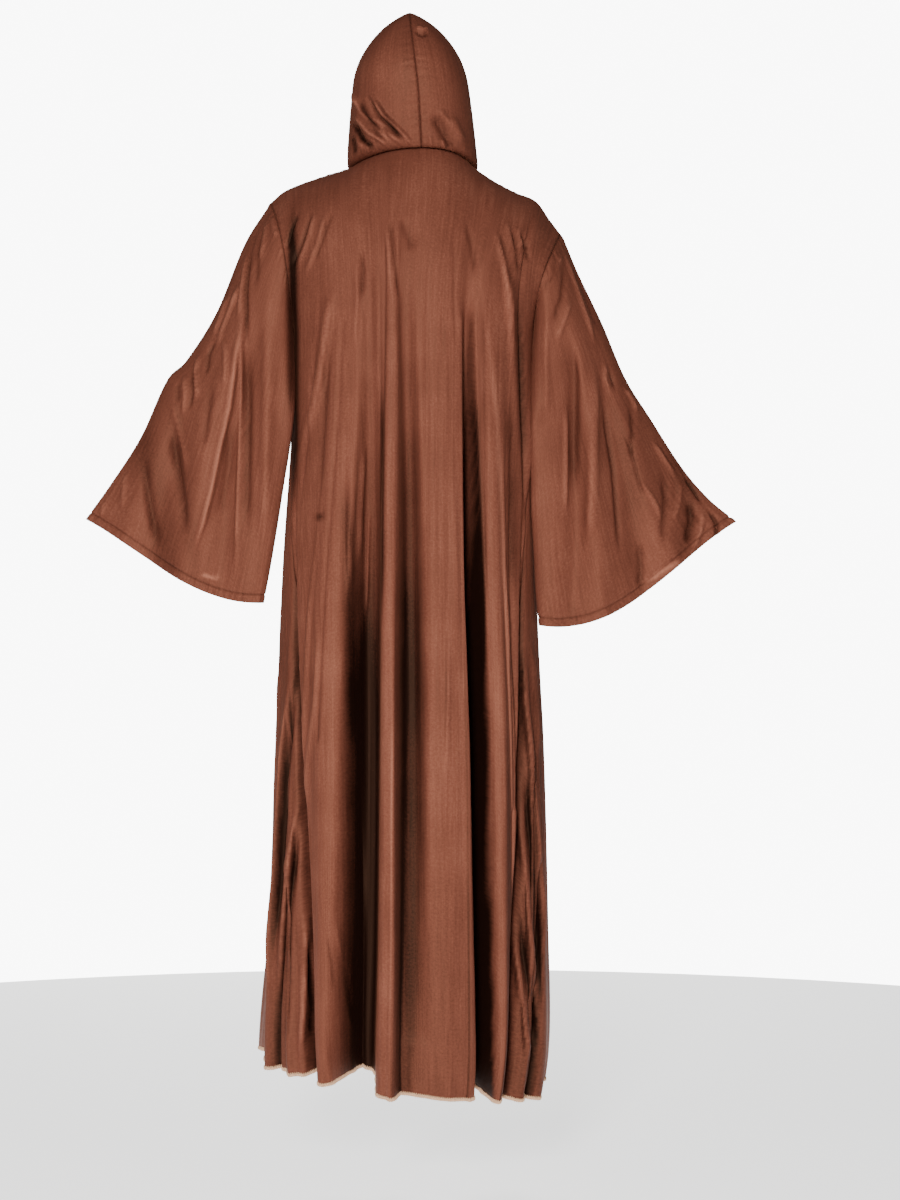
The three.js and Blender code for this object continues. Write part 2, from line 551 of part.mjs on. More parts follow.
// Points that several panels share get one outward direction, so that the walls meet in a mitre.
function shareNormals(panels) {
  const sums = new Map();
  const each = (visit) => {
    for (const panel of panels) panel.rows.forEach((row, r) => row.forEach((p, c) => visit(panel, p, r, c)));
  };
  each((panel, p, r, c) => {
    const key = placeOf(p);
    if (!sums.has(key)) sums.set(key, new THREE.Vector3());
    sums.get(key).add(panel.normals[r][c]);
  });
  each((panel, p, r, c) => {
    const shared = sums.get(placeOf(p)).clone().normalize();
    const lean = clamp(shared.dot(panel.normals[r][c]), 0.5, 1);
    panel.normals[r][c] = shared.divideScalar(lean);
  });
  // A sleeve has more points than the armhole that it meets, and those between follow the armhole.
  for (const panel of panels.filter((p) => p.perHole)) {
    const ring = panel.normals[0];
    ring.forEach((_, i) => {
      const from = i - (i % panel.perHole);
      const to = (from + panel.perHole) % ring.length;
      ring[i] = ring[from].clone().lerp(ring[to], (i % panel.perHole) / panel.perHole);
    });
  }
}

// Draws the sewn edges of a panel in by half of the seam gap, square to the seam.
function easeSeams(panel) {
  const { rows, sewn, closed } = panel;
  const lastRow = rows.length - 1;
  const lastColumn = rows[0].length - 1;
  const moved = rows.map((row) => row.map((p) => p.clone()));
  const point = (r, c) => {
    const row = rows[clamp(r, 0, lastRow)];
    return closed ? row[(c + row.length) % row.length] : row[clamp(c, 0, lastColumn)];
  };
  // Moves a point away from a seam that runs along the columns (or the rows) of the panel.
  const pull = (r, c, stepR, stepC) => {
    const along = point(r + Math.abs(stepC), c + Math.abs(stepR)).clone();
    along.sub(point(r - Math.abs(stepC), c - Math.abs(stepR))).normalize();
    const way = point(r + stepR, c + stepC).clone().sub(rows[r][c]);
    way.addScaledVector(along, -way.dot(along)).normalize();
    moved[r][c].addScaledVector(way, SEAM_GAP / 2);
  };
  rows.forEach((_, r) => {
    if (sewn.start) pull(r, 0, 0, 1);
    if (sewn.end) pull(r, lastColumn, 0, -1);
  });
  rows[0].forEach((_, c) => {
    if (sewn.bottom) pull(0, c, 1, 0);
    if (sewn.top) pull(lastRow, c, -1, 0);
  });
  panel.rows = moved;
}

// A closed wall round a grid of points: outer sheet, inner sheet and the rims between them.
function wallGeometry({ rows, normals, closed, outerAt }) {
  const count = rows[0].length;
  const position = [];
  const sheet = (sign) =>
    rows.forEach((row, r) =>
      row.forEach((p, c) => {
        const thick = sign > 0 && outerAt ? outerAt(r) : WALL / 2;
        position.push(...p.clone().addScaledVector(normals[r][c], sign * thick).toArray());
      }),
    );
  sheet(1);
  sheet(-1);
  const inner = rows.length * count;
  const at = (r, c) => r * count + (c % count);
  const faces = [];
  const place = (i) => new THREE.Vector3().fromArray(position, 3 * i);
  // Two panels that meet split the faces between them alike, across the shorter way.
  const quad = (a, b, c, d) => {
    const straight = place(a).distanceTo(place(c)) <= place(b).distanceTo(place(d));
    faces.push(...(straight ? [a, b, c, a, c, d] : [b, c, d, b, d, a]));
  };
  // The inner sheet is split as the outer one is, and turned round.
  const face = (r, c) => {
    const [a, b, e, d] = [at(r, c), at(r, c + 1), at(r + 1, c + 1), at(r + 1, c)];
    const straight = place(a).distanceTo(place(e)) <= place(b).distanceTo(place(d));
    const split = straight ? [a, b, e, a, e, d] : [b, e, d, b, d, a];
    faces.push(...split, ...split.map((i) => i + inner).reverse());
  };
  const wide = closed ? count : count - 1;
  for (let r = 0; r + 1 < rows.length; r++) {
    for (let c = 0; c < wide; c++) {
      face(r, c);
    }
  }
  const top = rows.length - 1;
  for (let c = 0; c < wide; c++) {
    quad(at(0, c), inner + at(0, c), inner + at(0, c + 1), at(0, c + 1));
    quad(at(top, c), at(top, c + 1), inner + at(top, c + 1), inner + at(top, c));
  }
  for (let r = 0; r < top && !closed; r++) {
    quad(at(r, 0), at(r + 1, 0), inner + at(r + 1, 0), inner + at(r, 0));
    quad(at(r, wide), inner + at(r, wide), inner + at(r + 1, wide), at(r + 1, wide));
  }
  const geometry = new THREE.BufferGeometry();
  geometry.setAttribute("position", new THREE.Float32BufferAttribute(position, 3));
  geometry.setIndex(faces);
  geometry.computeVertexNormals();
  return geometry;
}

// Panels. Columns run so that each sheet faces out: on the body from the wearer's left to right
// across the back, and on from there round the front.
const backColumns = [...backHalf(1).reverse(), ...backHalf(-1).slice(1)];
const backRows = bodyPanel(backColumns, "back");
const frontLeftRows = bodyPanel(frontColumns(1).reverse(), "front");
const frontRightRows = bodyPanel(frontColumns(-1), "front");

const sleeve = (side, frontRows) => {
  const rings = sleeveRings(side, armhole(backRows, frontRows, side));
  return {
    name: "sleeve_" + sideName(side),
    rows: side > 0 ? rings : rings.map((ring) => [ring[0], ...ring.slice(1).reverse()]),
    closed: true,
    perHole: SLEEVE_PER_ROW,
    outerAt: (r) => (r < rings.length - 2 ? WALL / 2 : SLEEVE_HEM_WALL - WALL / 2),
    sewn: { bottom: true },
  };
};

const panels = [
  { name: "back", rows: backRows, sewn: { start: true, end: true, top: true } },
  { name: "front_left", rows: frontLeftRows, sewn: { end: true, top: true } },
  { name: "front_right", rows: frontRightRows, sewn: { start: true, top: true } },
  sleeve(1, frontLeftRows),
  sleeve(-1, frontRightRows),
  { name: "hood_left", rows: hoodHalf(1), sewn: { end: true, top: true, bottom: true } },
  {
    name: "hood_right",
    rows: hoodHalf(-1).map((row) => row.reverse()),
    sewn: { start: true, top: true, bottom: true },
  },
];
for (const panel of panels) panel.normals = gridNormals(panel.rows, panel.closed);
shareNormals(panels);
panels.forEach(easeSeams);

const robe = new THREE.Group();
for (const panel of panels) {
  const mesh = new THREE.Mesh(wallGeometry(panel), CLOTH);
  mesh.name = panel.name;
  robe.add(mesh);
}

export default robe;
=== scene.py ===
# A long hooded robe of brown satin tricot, with bell sleeves and an open front, as it hangs when worn.
# Each panel of cloth is laid over the solid of the same name, with the finer folds, seams and hems.
# Shapes are worked out in millimetres and made in metres. Up is +Z, the front faces -Y and the robe's
# left, as it is worn, is +X. Angles round the body are in degrees from the centre back, left above 0.
import math

import bmesh
import bpy
import numpy as np
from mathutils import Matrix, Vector


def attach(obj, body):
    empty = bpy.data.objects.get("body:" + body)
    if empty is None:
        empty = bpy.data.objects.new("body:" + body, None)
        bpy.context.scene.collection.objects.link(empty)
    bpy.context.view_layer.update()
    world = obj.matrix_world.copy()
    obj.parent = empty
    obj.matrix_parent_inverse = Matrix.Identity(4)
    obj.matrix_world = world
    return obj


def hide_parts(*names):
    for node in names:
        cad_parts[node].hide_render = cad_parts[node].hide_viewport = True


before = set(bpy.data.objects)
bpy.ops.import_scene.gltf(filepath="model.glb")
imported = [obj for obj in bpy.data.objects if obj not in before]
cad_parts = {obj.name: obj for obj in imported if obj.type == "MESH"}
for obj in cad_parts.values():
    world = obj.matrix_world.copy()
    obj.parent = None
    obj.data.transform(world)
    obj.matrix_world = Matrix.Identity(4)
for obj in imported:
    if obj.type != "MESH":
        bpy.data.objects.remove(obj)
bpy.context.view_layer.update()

MM = 0.001
# The cloth and its thread
CLOTH = 1.2  # the tricot, a little thicker than real so that its edges show
WALE_PITCH = 5
THREAD_PITCH = 3  # from one loop of the overlock to the next
THREAD_RISE, THREAD_TALL, THREAD_DEEP = 1.4, 3, 1.8  # its middle above the edge, and its half sizes

# Light of the backdrop on the cloth, and as the camera sees it
AMBIENT = 0.07
BACKDROP = 10

# Seams and the gathers beside them
SEAM_LIFT = 0.7  # how far the cloth stands over its seams
SEAM_WIDE = 2.4
SEAM_LINE = 1.8  # how wide the dark line along a seam is
GATHER_REACH = 14
# Gathers: how far they stand out, and how far apart they are
SIDE_GATHERS = (0.8, 16)
TOP_GATHERS = (0.8, 13)
ARMHOLE_GATHERS = (0.9, 15)
HOOD_GATHERS = {"neck": (1.2, 12), "ridge": (0.6, 10), "back": (0.6, 12)}
FRILL = 1.6  # how far the hanging hems wave in and out
FRILL_PITCH = 27
FRILL_REACH = 22

# Turned hems. From the inner end out to the edge: each line's distance from the edge, and how deep inside
HEM_TURN = ((15, 1.7), (8.25, 1.8), (3, 1.8), (1.2, 1.6), (0.2, 0.9))
STITCH_LINE = 13  # from a turned edge to its stitches
STITCH_SUNK = 1.4
STITCH_WIDE = 1.8
STITCH_THREAD = 1.4  # how wide the dark line of stitches is
HEM_WAVE = 0.5
HEM_WAVE_PITCH = 11
HEM_WAVE_WIDE = 7

# The robe's own sizes, the same as the solids'
UNDERARM_Z = -265
HEM_Z = -1418
HEM_TILT = 26
HEM_DIP_BACK = 6
HEM_DROOP = 0.25
RING_POWER = 0.88
FOLD_GIRTH = 190
FRONT_GAP_TOP = 14
FRONT_GAP_HEM = 46
NECK_HALF_WIDTH = 88
NECK_BACK = 66
NECK_FRONT = 80
NECK_SIDE_Z = -4
NECK_POINTED = 1.5
NAPE_Z = 21
THROAT_Z = -62
NAPE_SHIFT = -14
THROAT_ANGLE = 171
NECK_POINT = 0.35
END = -1460  # of a fold that runs down past the hem
FOLD_TIP = 0.55  # how wide a fold is at its top end, against its middle

# Rows and columns of the cloth
BODY_ROWS = 130
ARMHOLE_ROWS = 60
BACK_FINE = 4
FRONT_FINE = 10
HOOD_FINE = 8
HOOD_ROWS = 110
SLEEVE_ROWS = 92
SLEEVE_HEM_FROM = 0.955  # closer rows from here to the cuff, for the hem's stitching
SLEEVE_HEM_ROWS = 17
SLEEVE_PER_ROW = 3

# The panels' own division of their top edges
NECK_BACK_COLUMNS = 12
NECK_FRONT_COLUMNS = 8
SHOULDER_COLUMNS = {"left": 12, "right": 13}
RIGHT_INNER_COLUMNS = 5
RIGHT_INNER_ANGLE = 33
NECK_ZONE = 24

# Smoothing under the corners of the neckline: its reach in columns, and how often it is done
BACK_EASE = 16
FRONT_EASE = 28
EASE_ROUNDS = 60


def table(columns, *rows):
    return dict(zip(columns.split(), np.array(rows, float).T))


BODY_LEVELS = table(
    "z left right back front",
    (-265, 187, 189, 140, 128),
    (-400, 188, 188, 142, 134),
    (-600, 201, 190, 148, 138),
    (-750, 209, 196, 154, 142),
    (-900, 213, 204, 160, 146),
    (-1200, 222, 209, 174, 156),
    (-1370, 235, 210, 184, 163),
    (-1460, 232, 200, 188, 167),
)
SIDE_SEAMS = table(
    "z left right",
    (-265, 86, 86),
    (-420, 82, 77),
    (-600, 66, 64),
    (-750, 56, 58),
    (-1000, 48, 50),
    (-1200, 42, 46),
    (-1460, 32, 37),
)
SHOULDER_SEAMS = {
    "left": table("at x z", (0, 88, -4), (0.4, 142, -19), (0.82, 200, -41), (1, 223, -60)),
    "right": table(
        "at x z",
        (0, 88, -4),
        (0.25, 125, -26),
        (0.5, 161, -44),
        (0.72, 193, -58),
        (0.9, 215, -88),
        (1, 231, -109),
    ),
}
TOP_EASE = {
    "back": table(
        "at leanX leanY leanZ riseX riseY riseZ",
        (0, 0, 44, -50, 0, 0, 110),
        (0.22, 14, 66, -34, 0, 0, 120),
        (0.35, 34, 84, -14, 0, 2, 125),
        (0.52, 20, 88, -22, 0, 10, 118),
        (0.8, -4, 84, -38, 0, 26, 100),
        (1, -23, 90, -55, 1, 60, 72),
    ),
    "front": table(
        "at leanX leanY leanZ riseX riseY riseZ",
        (0, 2, -34, -56, 0, 0, 100),
        (0.22, 12, -50, -44, 0, 0, 105),
        (0.35, 26, -62, -32, 0, -2, 110),
        (0.52, 16, -70, -36, 0, -8, 106),
        (0.8, -4, -70, -46, 0, -22, 92),
        (1, -22, -76, -58, 1, -54, 68),
    ),
}

# Hanging folds: the angle at the top, middle and end of each, its half width and how far it stands
# out (or in, below 0) in the middle and at the end. A row can end with how crisp the fold is (4 has
# steep sides and a flat bed, 2 is soft) and with its skew, which widens the left side and narrows
# the right.
FOLDS = [
    {"crisp": 2, "skew": 0}
    | dict(zip("top topZ mid midZ low end wide lowWide high lowHigh crisp skew".split(), row))
    for row in (
        # The back, from the left: a broad fold, a trough, the ridge at the spine, a trough
        (36, -180, 36, -750, 30, END, 24, 18, 9, 16),
        (17, -330, 18, -760, 18.6, END, 24, 25, -54, -66, 4),
        (6.9, -90, 7.2, -600, 7.2, END, 11, 12.5, 18, 25, 8),
        (2.2, -180, 0.4, -640, -1, -1340, 12, 12, -30, -4, 3),
        # On to the right: a broad flat fold, the deep pleat with its ridge, and a valley at the armpit
        (-11, -200, -11, -750, -11, END, 34, 38, 5, 12),
        (-24, -230, -27, -700, -29.5, END, 16, 14, -84, -96, 8),
        (-39, -230, -38.5, -700, -36, END, 18, 13, 10, 16),
        (-57, -180, -64, -380, -67, -570, 9, 8, -22, 0),
        # Both side seams lie in valleys, with a fold of the front beside each
        (66, -500, 48, -1030, 35, END, 9, 10, -26, -46, 2.5),
        (-64, -500, -50, -1030, -40, END, 9, 10, -26, -46, 2.5),
        (60, -700, 70, -1050, 62, END, 15, 20, 8, 15),
        (-66, -700, -66, -1050, -64, END, 15, 20, 8, 15),
        # Round the left front to its edge
        (84, -620, 86, -1000, 84, END, 16, 18, -9, -16),
        (102, -420, 104, -900, 103, END, 20, 22, 9, 15),
        (124, -240, 125, -800, 124, END, 17, 19, -17, -33),
        (140, -200, 143, -800, 143, END, 18, 20, 10, 18),
        (160, -260, 159, -800, 158, END, 14, 15, -10, -22),
        # Round the right front to its edge
        (-86, -700, -87, -1050, -87, END, 16, 18, -8, -15),
        (-104, -460, -107, -900, -108, END, 20, 23, 9, 16),
        (-128, -260, -130, -820, -131, END, 17, 18, -18, -31),
        (-146, -220, -149, -800, -149, END, 17, 19, 9, 17),
        (-163, -300, -164, -850, -163, END, 12, 13, -8, -18),
        # Smaller folds of the back
        (17, -130, 17.4, -310, 17.8, -560, 13, 16, -7, 0),
        (-22.5, -110, -24, -260, -25, -520, 9, 9, -9, 0),
        (29, -420, 26, -760, 20.5, -1440, 5, 6, -5, -7, 2, 0.3),
        (40, -480, 47, -760, 50, -1120, 5, 6, 4, 0),
        (5.2, -400, 5.4, -900, 5.4, END, 2.4, 2.6, 2.5, 4),
        (-41, -560, -46.8, -900, -38.5, END, 3.5, 3.5, 5, 5),
        (-16, -430, -17, -620, -17.5, -900, 6, 8, 3, 0),
        (-20.6, -300, -21.6, -700, -21.6, END, 3, 3, 2.5, 3),
        (-38, -90, -48, -210, -60, -500, 7, 8, 6, 0),
        (-44, -190, -44, -560, -44, -1000, 3.5, 3.5, 3.5, 3),
        (-33, -260, -34, -500, -33, -1100, 3.5, 3.5, -3, -3),
        (-53, -300, -50, -600, -47, -1000, 5, 5, -5, -4),
        (-76, -300, -72, -430, -66, -560, 7, 7, 6, 0),
        (33, -120, 46, -330, 72, -520, 9, 9, 5, 0),
        (30, -150, 34, -420, 38, -900, 4, 5, -3.5, -2),
        (45, -200, 55, -400, 60, -560, 5, 5, -4, 0),
        (12.5, -150, 12, -400, 11.5, -1000, 3, 3, -3, -2),
        (-5, -160, -5, -420, -5, -900, 4, 5, -2, -1.5),
        # Smaller folds of the fronts, beside the side seams
        (62, -800, 54, -1150, 46, END, 6, 7, 8, 12),
        (58, -1000, 60, -1250, 55, END, 4, 5, -8, -12),
        (76, -900, 72, -1200, 66, END, 6, 7, -6, -9),
        (-60, -760, -57, -1100, -49, END, 6, 7, 8, 12),
        (-70, -900, -62, -1200, -57, END, 4, 5, -8, -12),
        (-80, -860, -74, -1200, -68, END, 6, 7, -6, -9),
    )
]

SLEEVE_LINES = {
    "left": table(
        "at topX topZ lowX lowZ deepTop deepLow",
        (0, 223, -60, 187, -265, 60, 30),
        (0.12, 259, -117, 183, -318, 60, 26),
        (0.3, 307, -230, 184, -388, 58, 24),
        (0.48, 357, -309, 193, -458, 57, 26),
        (0.56, 385, -336, 199, -494, 55, 27),
        (0.72, 428, -428, 210, -564, 52, 28),
        (0.88, 480, -508, 222, -635, 48, 29),
        (1, 515, -556, 232, -687, 42, 28),
    ),
    "right": table(
        "at topX topZ lowX lowZ deepTop deepLow",
        (0, 231, -109, 189, -265, 58, 30),
        (0.12, 254, -163, 184, -330, 60, 27),
        (0.3, 296, -250, 184, -404, 58, 25),
        (0.48, 333, -336, 184, -480, 56, 26),
        (0.62, 372, -398, 185, -540, 55, 27),
        (0.78, 424, -478, 189, -614, 52, 28),
        (0.9, 466, -526, 192, -672, 48, 29),
        (1, 508, -560, 197, -722, 42, 28),
    ),
}
SLEEVE_SIZES = {
    "left": {"forward": 16, "lowBack": 50, "hemBow": 22},
    "right": {"forward": 14, "lowBack": 52, "hemBow": 34},
}
SLEEVE_STEP = 9
SLEEVE_UNDER_STEP = 0.1
SLEEVE_DIP_OVER = 60
SLEEVE_DIP_UNDER = 17
SLEEVE_FADE_TO = 0.4
HEM_BOW_SLANT = 0.35
SLEEVE_HANG = 0.4
FOLD_GROWS = 0.4
FOLD_FADES = 0.35

# Folds of the sleeves, from one place along the sleeve (at) and down from its top line to another
SLEEVE_FOLDS = {
    side: [dict(zip("face at down toAt toDown wide high".split(), row)) for row in rows]
    for side, rows in {
        "left": (
            (1, 0.12, 0.2, 1, 0.58, 22, 9),
            (1, 0.16, 0.42, 1, 0.8, 22, -10),
            (1, 0.1, 0.6, 0.7, 0.95, 18, 5),
            (1, 0.48, 0.15, 1, 0.4, 21, -9),
            (1, 0.55, 0.03, 1, 0.22, 20, 6),
            (-1, 0.15, 0.3, 1, 0.7, 23, 8),
            (-1, 0.15, 0.12, 1, 0.5, 22, -9),
            (-1, 0.4, 0.1, 1, 0.3, 22, 7),
        ),
        "right": (
            (1, 0.08, 0.2, 1, 0.72, 21, 9),
            (1, 0.14, 0.38, 1, 0.88, 19, -9),
            (1, 0.3, 0.12, 1, 0.52, 21, -8),
            (1, 0.34, 0.06, 1, 0.34, 21, 8),
            (1, 0.62, 0.04, 1, 0.17, 17, -6),
            (-1, 0.12, 0.25, 1, 0.66, 23, 9),
            (-1, 0.2, 0.42, 1, 0.84, 20, -8),
            (-1, 0.35, 0.1, 1, 0.38, 22, -9),
        ),
    }.items()
}

HOOD_FRONT = table(
    "at x y z",
    (0, 14, -79, -62),
    (0.07, 30, -90, -46),
    (0.2, 62, -99, -8),
    (0.4, 82, -103, 60),
    (0.6, 80, -104, 116),
    (0.75, 68, -106, 154),
    (0.88, 43, -108, 184),
    (0.96, 17, -110, 200),
    (1, 0, -111, 206),
)
HOOD_SIDE = table(
    "at x y z",
    (0, 88, 0, -4),
    (0.02, 99, 0, -5),
    (0.05, 101, 0, 2),
    (0.2, 98, -2, 45),
    (0.4, 93, -2, 94),
    (0.6, 87, -2, 136),
    (0.75, 74, -2, 168),
    (0.88, 50, -2, 199),
    (0.96, 22, -2, 219),
    (1, 0, -2, 226),
)
HOOD_BACK = table(
    "at x y z centre",
    (0, -14, 66, 21, 0),
    (0.02, -14, 84, 15, 0),
    (0.05, -14, 92, 20, 1),
    (0.2, -12, 101, 60, 2),
    (0.4, -9, 110, 106, 3),
    (0.6, -4, 110, 148, 4),
    (0.75, 0, 99, 181, 4),
    (0.88, 3, 80, 208, 4),
    (0.96, 4, 60, 223, 4),
    (1, 4, 46, 229, 4),
)
HOOD_BACK_ROUND = 0.8
HOOD_SEAM_EASE = 1.3

# Creases seen from behind, panel by panel. Each row is a half width, a height and then the points of
# its line, x and z in turn.
CREASES = {
    "back": [
        (3, -3.9, 35, -96, 29, -137, 23, -182, 20, -228),
        (3, 3.2, 41, -99, 35, -152, 30, -228),
        (6, -3, 17, -99, 8, -122, -3, -152),
        (3, -3.2, 77, -144, 74, -182, 76, -228),
        (3, 2.6, 85, -152, 83, -228, 87, -304),
        (4, -2.6, -80, -99, -90, -137, -98, -190),
        (3, -1.3, -64, -109, -64, -228, -67, -304),
        (3, 1.6, -8, -83, -8, -129),
        (3, -3.2, 121, -83, 132, -114, 153, -170),
        (3, 3.2, 131, -83, 144, -137, 167, -191),
        (3, -4.5, 155, -83, 167, -124, 185, -170),
        (3, 3.2, 147, -83, 162, -137, 178, -174),
        (3, -4.5, 176, -80, 187, -114, 194, -144),
        (3, 5.2, -126, -114, -140, -170, -150, -228, -155, -273),
        (3, -3.9, -132, -109, -147, -170, -156, -212),
        (3, 3.2, -143, -99, -152, -137, -158, -170),
        (3, -4.5, -152, -109, -159, -144, -164, -179),
        (3, 3.2, -161, -109, -168, -144),
        (3, -5.2, -167, -114, -175, -144, -179, -164),
        (6, 4.5, 115, -190, 129, -250, 138, -334, 152, -395, 167, -455),
        (5, -3.9, 124, -273, 131, -349, 137, -440, 141, -531),
        (3, 3.9, 88, -486, 94, -577, 97, -683),
        (3, 3.9, 73, -440, 79, -531, 83, -637),
        (3, 3.9, 65, -531, 68, -622, 71, -713),
        (3, -2.1, 129, -1184, 120, -1229, 117, -1275),
        (3, 2.1, 117, -1169, 108, -1229),
        (3, -2.1, 103, -1229, 96, -1290, 90, -1336),
        (4, 3.2, 140, -713, 146, -835, 158, -926, 164, -1032),
        (4, 2.6, -56, -683, -55, -835, -50, -971),
        (3, -1.6, -11, -361, -41, -360, -71, -361),
    ],
    "front_left": [
        (3.5, 7.5, 177, -768, 189, -822, 200, -929, 209, -1083, 220, -1237, 231, -1345),
        (4, -7.5, 176, -788, 185, -868, 194, -976, 203, -1114, 211, -1237),
        (3.5, 7.5, 172, -983, 182, -1037, 191, -1114, 199, -1207, 205, -1314),
        (4, -7.5, 171, -1014, 179, -1083, 186, -1160, 189, -1253, 189, -1361),
        (3.5, 7.5, 162, -1145, 163, -1222, 165, -1299, 169, -1384),
        (3.5, -8.8, 157, -1191, 154, -1268, 151, -1361),
        (3.5, 3.8, 200, -745, 208, -837, 214, -960, 219, -1068),
    ],
    "front_right": [
        (3.5, 6.2, -171, -745, -174, -837, -182, -929, -191, -1037, -199, -1145, -203, -1268),
        (4, -8.8, -171, -929, -177, -1022, -185, -1114, -191, -1222, -196, -1330),
        (3.5, 5, -162, -991, -171, -1083, -180, -1191, -189, -1299, -196, -1361),
        (3.5, 6.2, -156, -1191, -163, -1253, -172, -1330, -179, -1391),
        (4, -7.5, -162, -1145, -169, -1222, -180, -1299, -186, -1376),
        (3.5, 3.8, -182, -745, -191, -837, -197, -929),
    ],
    "sleeve_left": [
        (4.5, 8.4, 264, -233, 275, -311, 287, -388, 301, -450, 313, -512, 326, -567, 346, -621),
        (3, -6, 240, -97, 254, -143, 259, -202, 257, -264, 256, -295),
        (7, -7.2, 257, -272, 256, -373, 256, -481, 257, -590),
        (3, 4.8, 265, -218, 267, -359, 268, -466, 271, -559, 275, -660),
        (3, 4.8, 244, -106, 259, -159, 267, -218, 270, -256),
        (3, 3.6, 226, -86, 228, -109, 233, -140, 237, -159),
        (3, 3, 219, -84, 211, -122),
        (3, -3, 234, -101, 240, -140, 242, -202),
        (3.5, 5.4, 268, -187, 281, -225, 296, -264, 304, -287),
        (3, -4.2, 275, -215, 287, -246, 299, -277),
        (3, 3.6, 287, -205, 298, -236, 312, -272),
        (3, 4.2, 296, -272, 290, -295, 290, -326, 292, -357),
        (3, -4.2, 307, -277, 318, -298, 321, -334),
        (3, 5.4, 333, -295, 338, -326, 335, -373),
        (3, 4.8, 357, -329, 355, -365, 358, -396),
        (3, -4.2, 346, -320, 344, -357, 347, -388),
        (3, -3.6, 368, -342, 366, -373),
        (3.5, 4.8, 380, -360, 368, -404, 355, -450, 349, -489),
        (7, -7.2, 377, -412, 366, -481, 357, -536, 352, -590),
        (7, -7.2, 425, -447, 414, -512, 405, -559, 396, -605),
        (3, 3.6, 451, -481, 453, -512, 454, -540),
        (3, 2.4, 485, -528, 489, -550),
        (8, 4.8, 225, -202, 225, -373, 228, -528, 234, -636),
        (8, -4.8, 281, -404, 287, -481, 299, -559),
        (6, -4.8, 312, -342, 320, -404, 326, -450),
    ],
    "sleeve_right": [
        (3, 4, -233, -140, -222, -171, -205, -194),
        (3.5, -4.6, -237, -165, -231, -215, -216, -256),
        (3, 4.6, -245, -215, -234, -249, -222, -283),
        (3, -3.4, -228, -156, -214, -185, -199, -205),
        (3, 3.4, -231, -128, -251, -187, -275, -256, -285, -292),
        (4, -3.4, -247, -140, -265, -194, -290, -264),
        (3, 4, -299, -311, -299, -339, -309, -363),
        (3, -4, -307, -323, -315, -354),
        (3, 4, -329, -350, -343, -370, -351, -391),
        (7, -5.8, -247, -264, -251, -342, -250, -419, -250, -481, -247, -528),
        (3.5, 4, -237, -373, -237, -450, -236, -559),
        (8, 6.9, -279, -295, -281, -373, -279, -450, -278, -528, -271, -621),
        (4, -5.8, -295, -357, -302, -419, -312, -481, -318, -559, -321, -621),
        (4, -4, -340, -373, -343, -419, -338, -466),
        (3, 3.4, -352, -494, -375, -528, -389, -559),
        (3, 4, -375, -435, -396, -466, -414, -491),
        (6, -5.8, -391, -481, -396, -528, -388, -598),
        (3, 5.2, -420, -494, -416, -528, -406, -559),
        (6, -9.2, -433, -525, -437, -559, -427, -598),
        (3.5, 5.2, -454, -536, -451, -574, -437, -605),
        (3, -5.8, -425, -489, -442, -512, -453, -531),
        (3.5, -6.9, -464, -540, -478, -565, -475, -590),
        (5, 2.9, -209, -218, -206, -311, -209, -404),
        (3, -2.3, -329, -419, -346, -474, -360, -528),
        (5, -3.4, -352, -590, -355, -636, -352, -667),
    ],
    "hood_left": [
        (4, 9, 97, 114, 80, 78, 46, 40, 6, 14),
        (3.5, 7, 64, 98, 44, 62, 20, 37, -6, 12),
        (3.5, 8, 90, 72, 66, 38, 34, 15),
        (4, -9, 88, 90, 62, 54, 28, 26),
        (3, -6, 72, 96, 52, 62, 24, 36, 6, 22),
        (3.5, -8, 94, 60, 76, 28, 56, 10),
        (3, 4, 86, 46, 78, 14),
        (2.5, 3, 74, 30, 66, 8),
        (3, -5, 92, 36, 88, 8),
    ],
    "hood_right": [
        (8, -8, -32, 64, -54, 24, -64, 4),
        (7, 5, -58, 62, -76, 20),
        (5, 3, -40, 70, -62, 40),
        (2.5, 5, -4, 197, -16, 192, -26, 196),
        (2.5, -4, -4, 188, -16, 182, -26, 187),
        (2.5, 3, -46, 26, -52, 8),
        (2.5, 2, -26, 30, -30, 14),
    ],
}

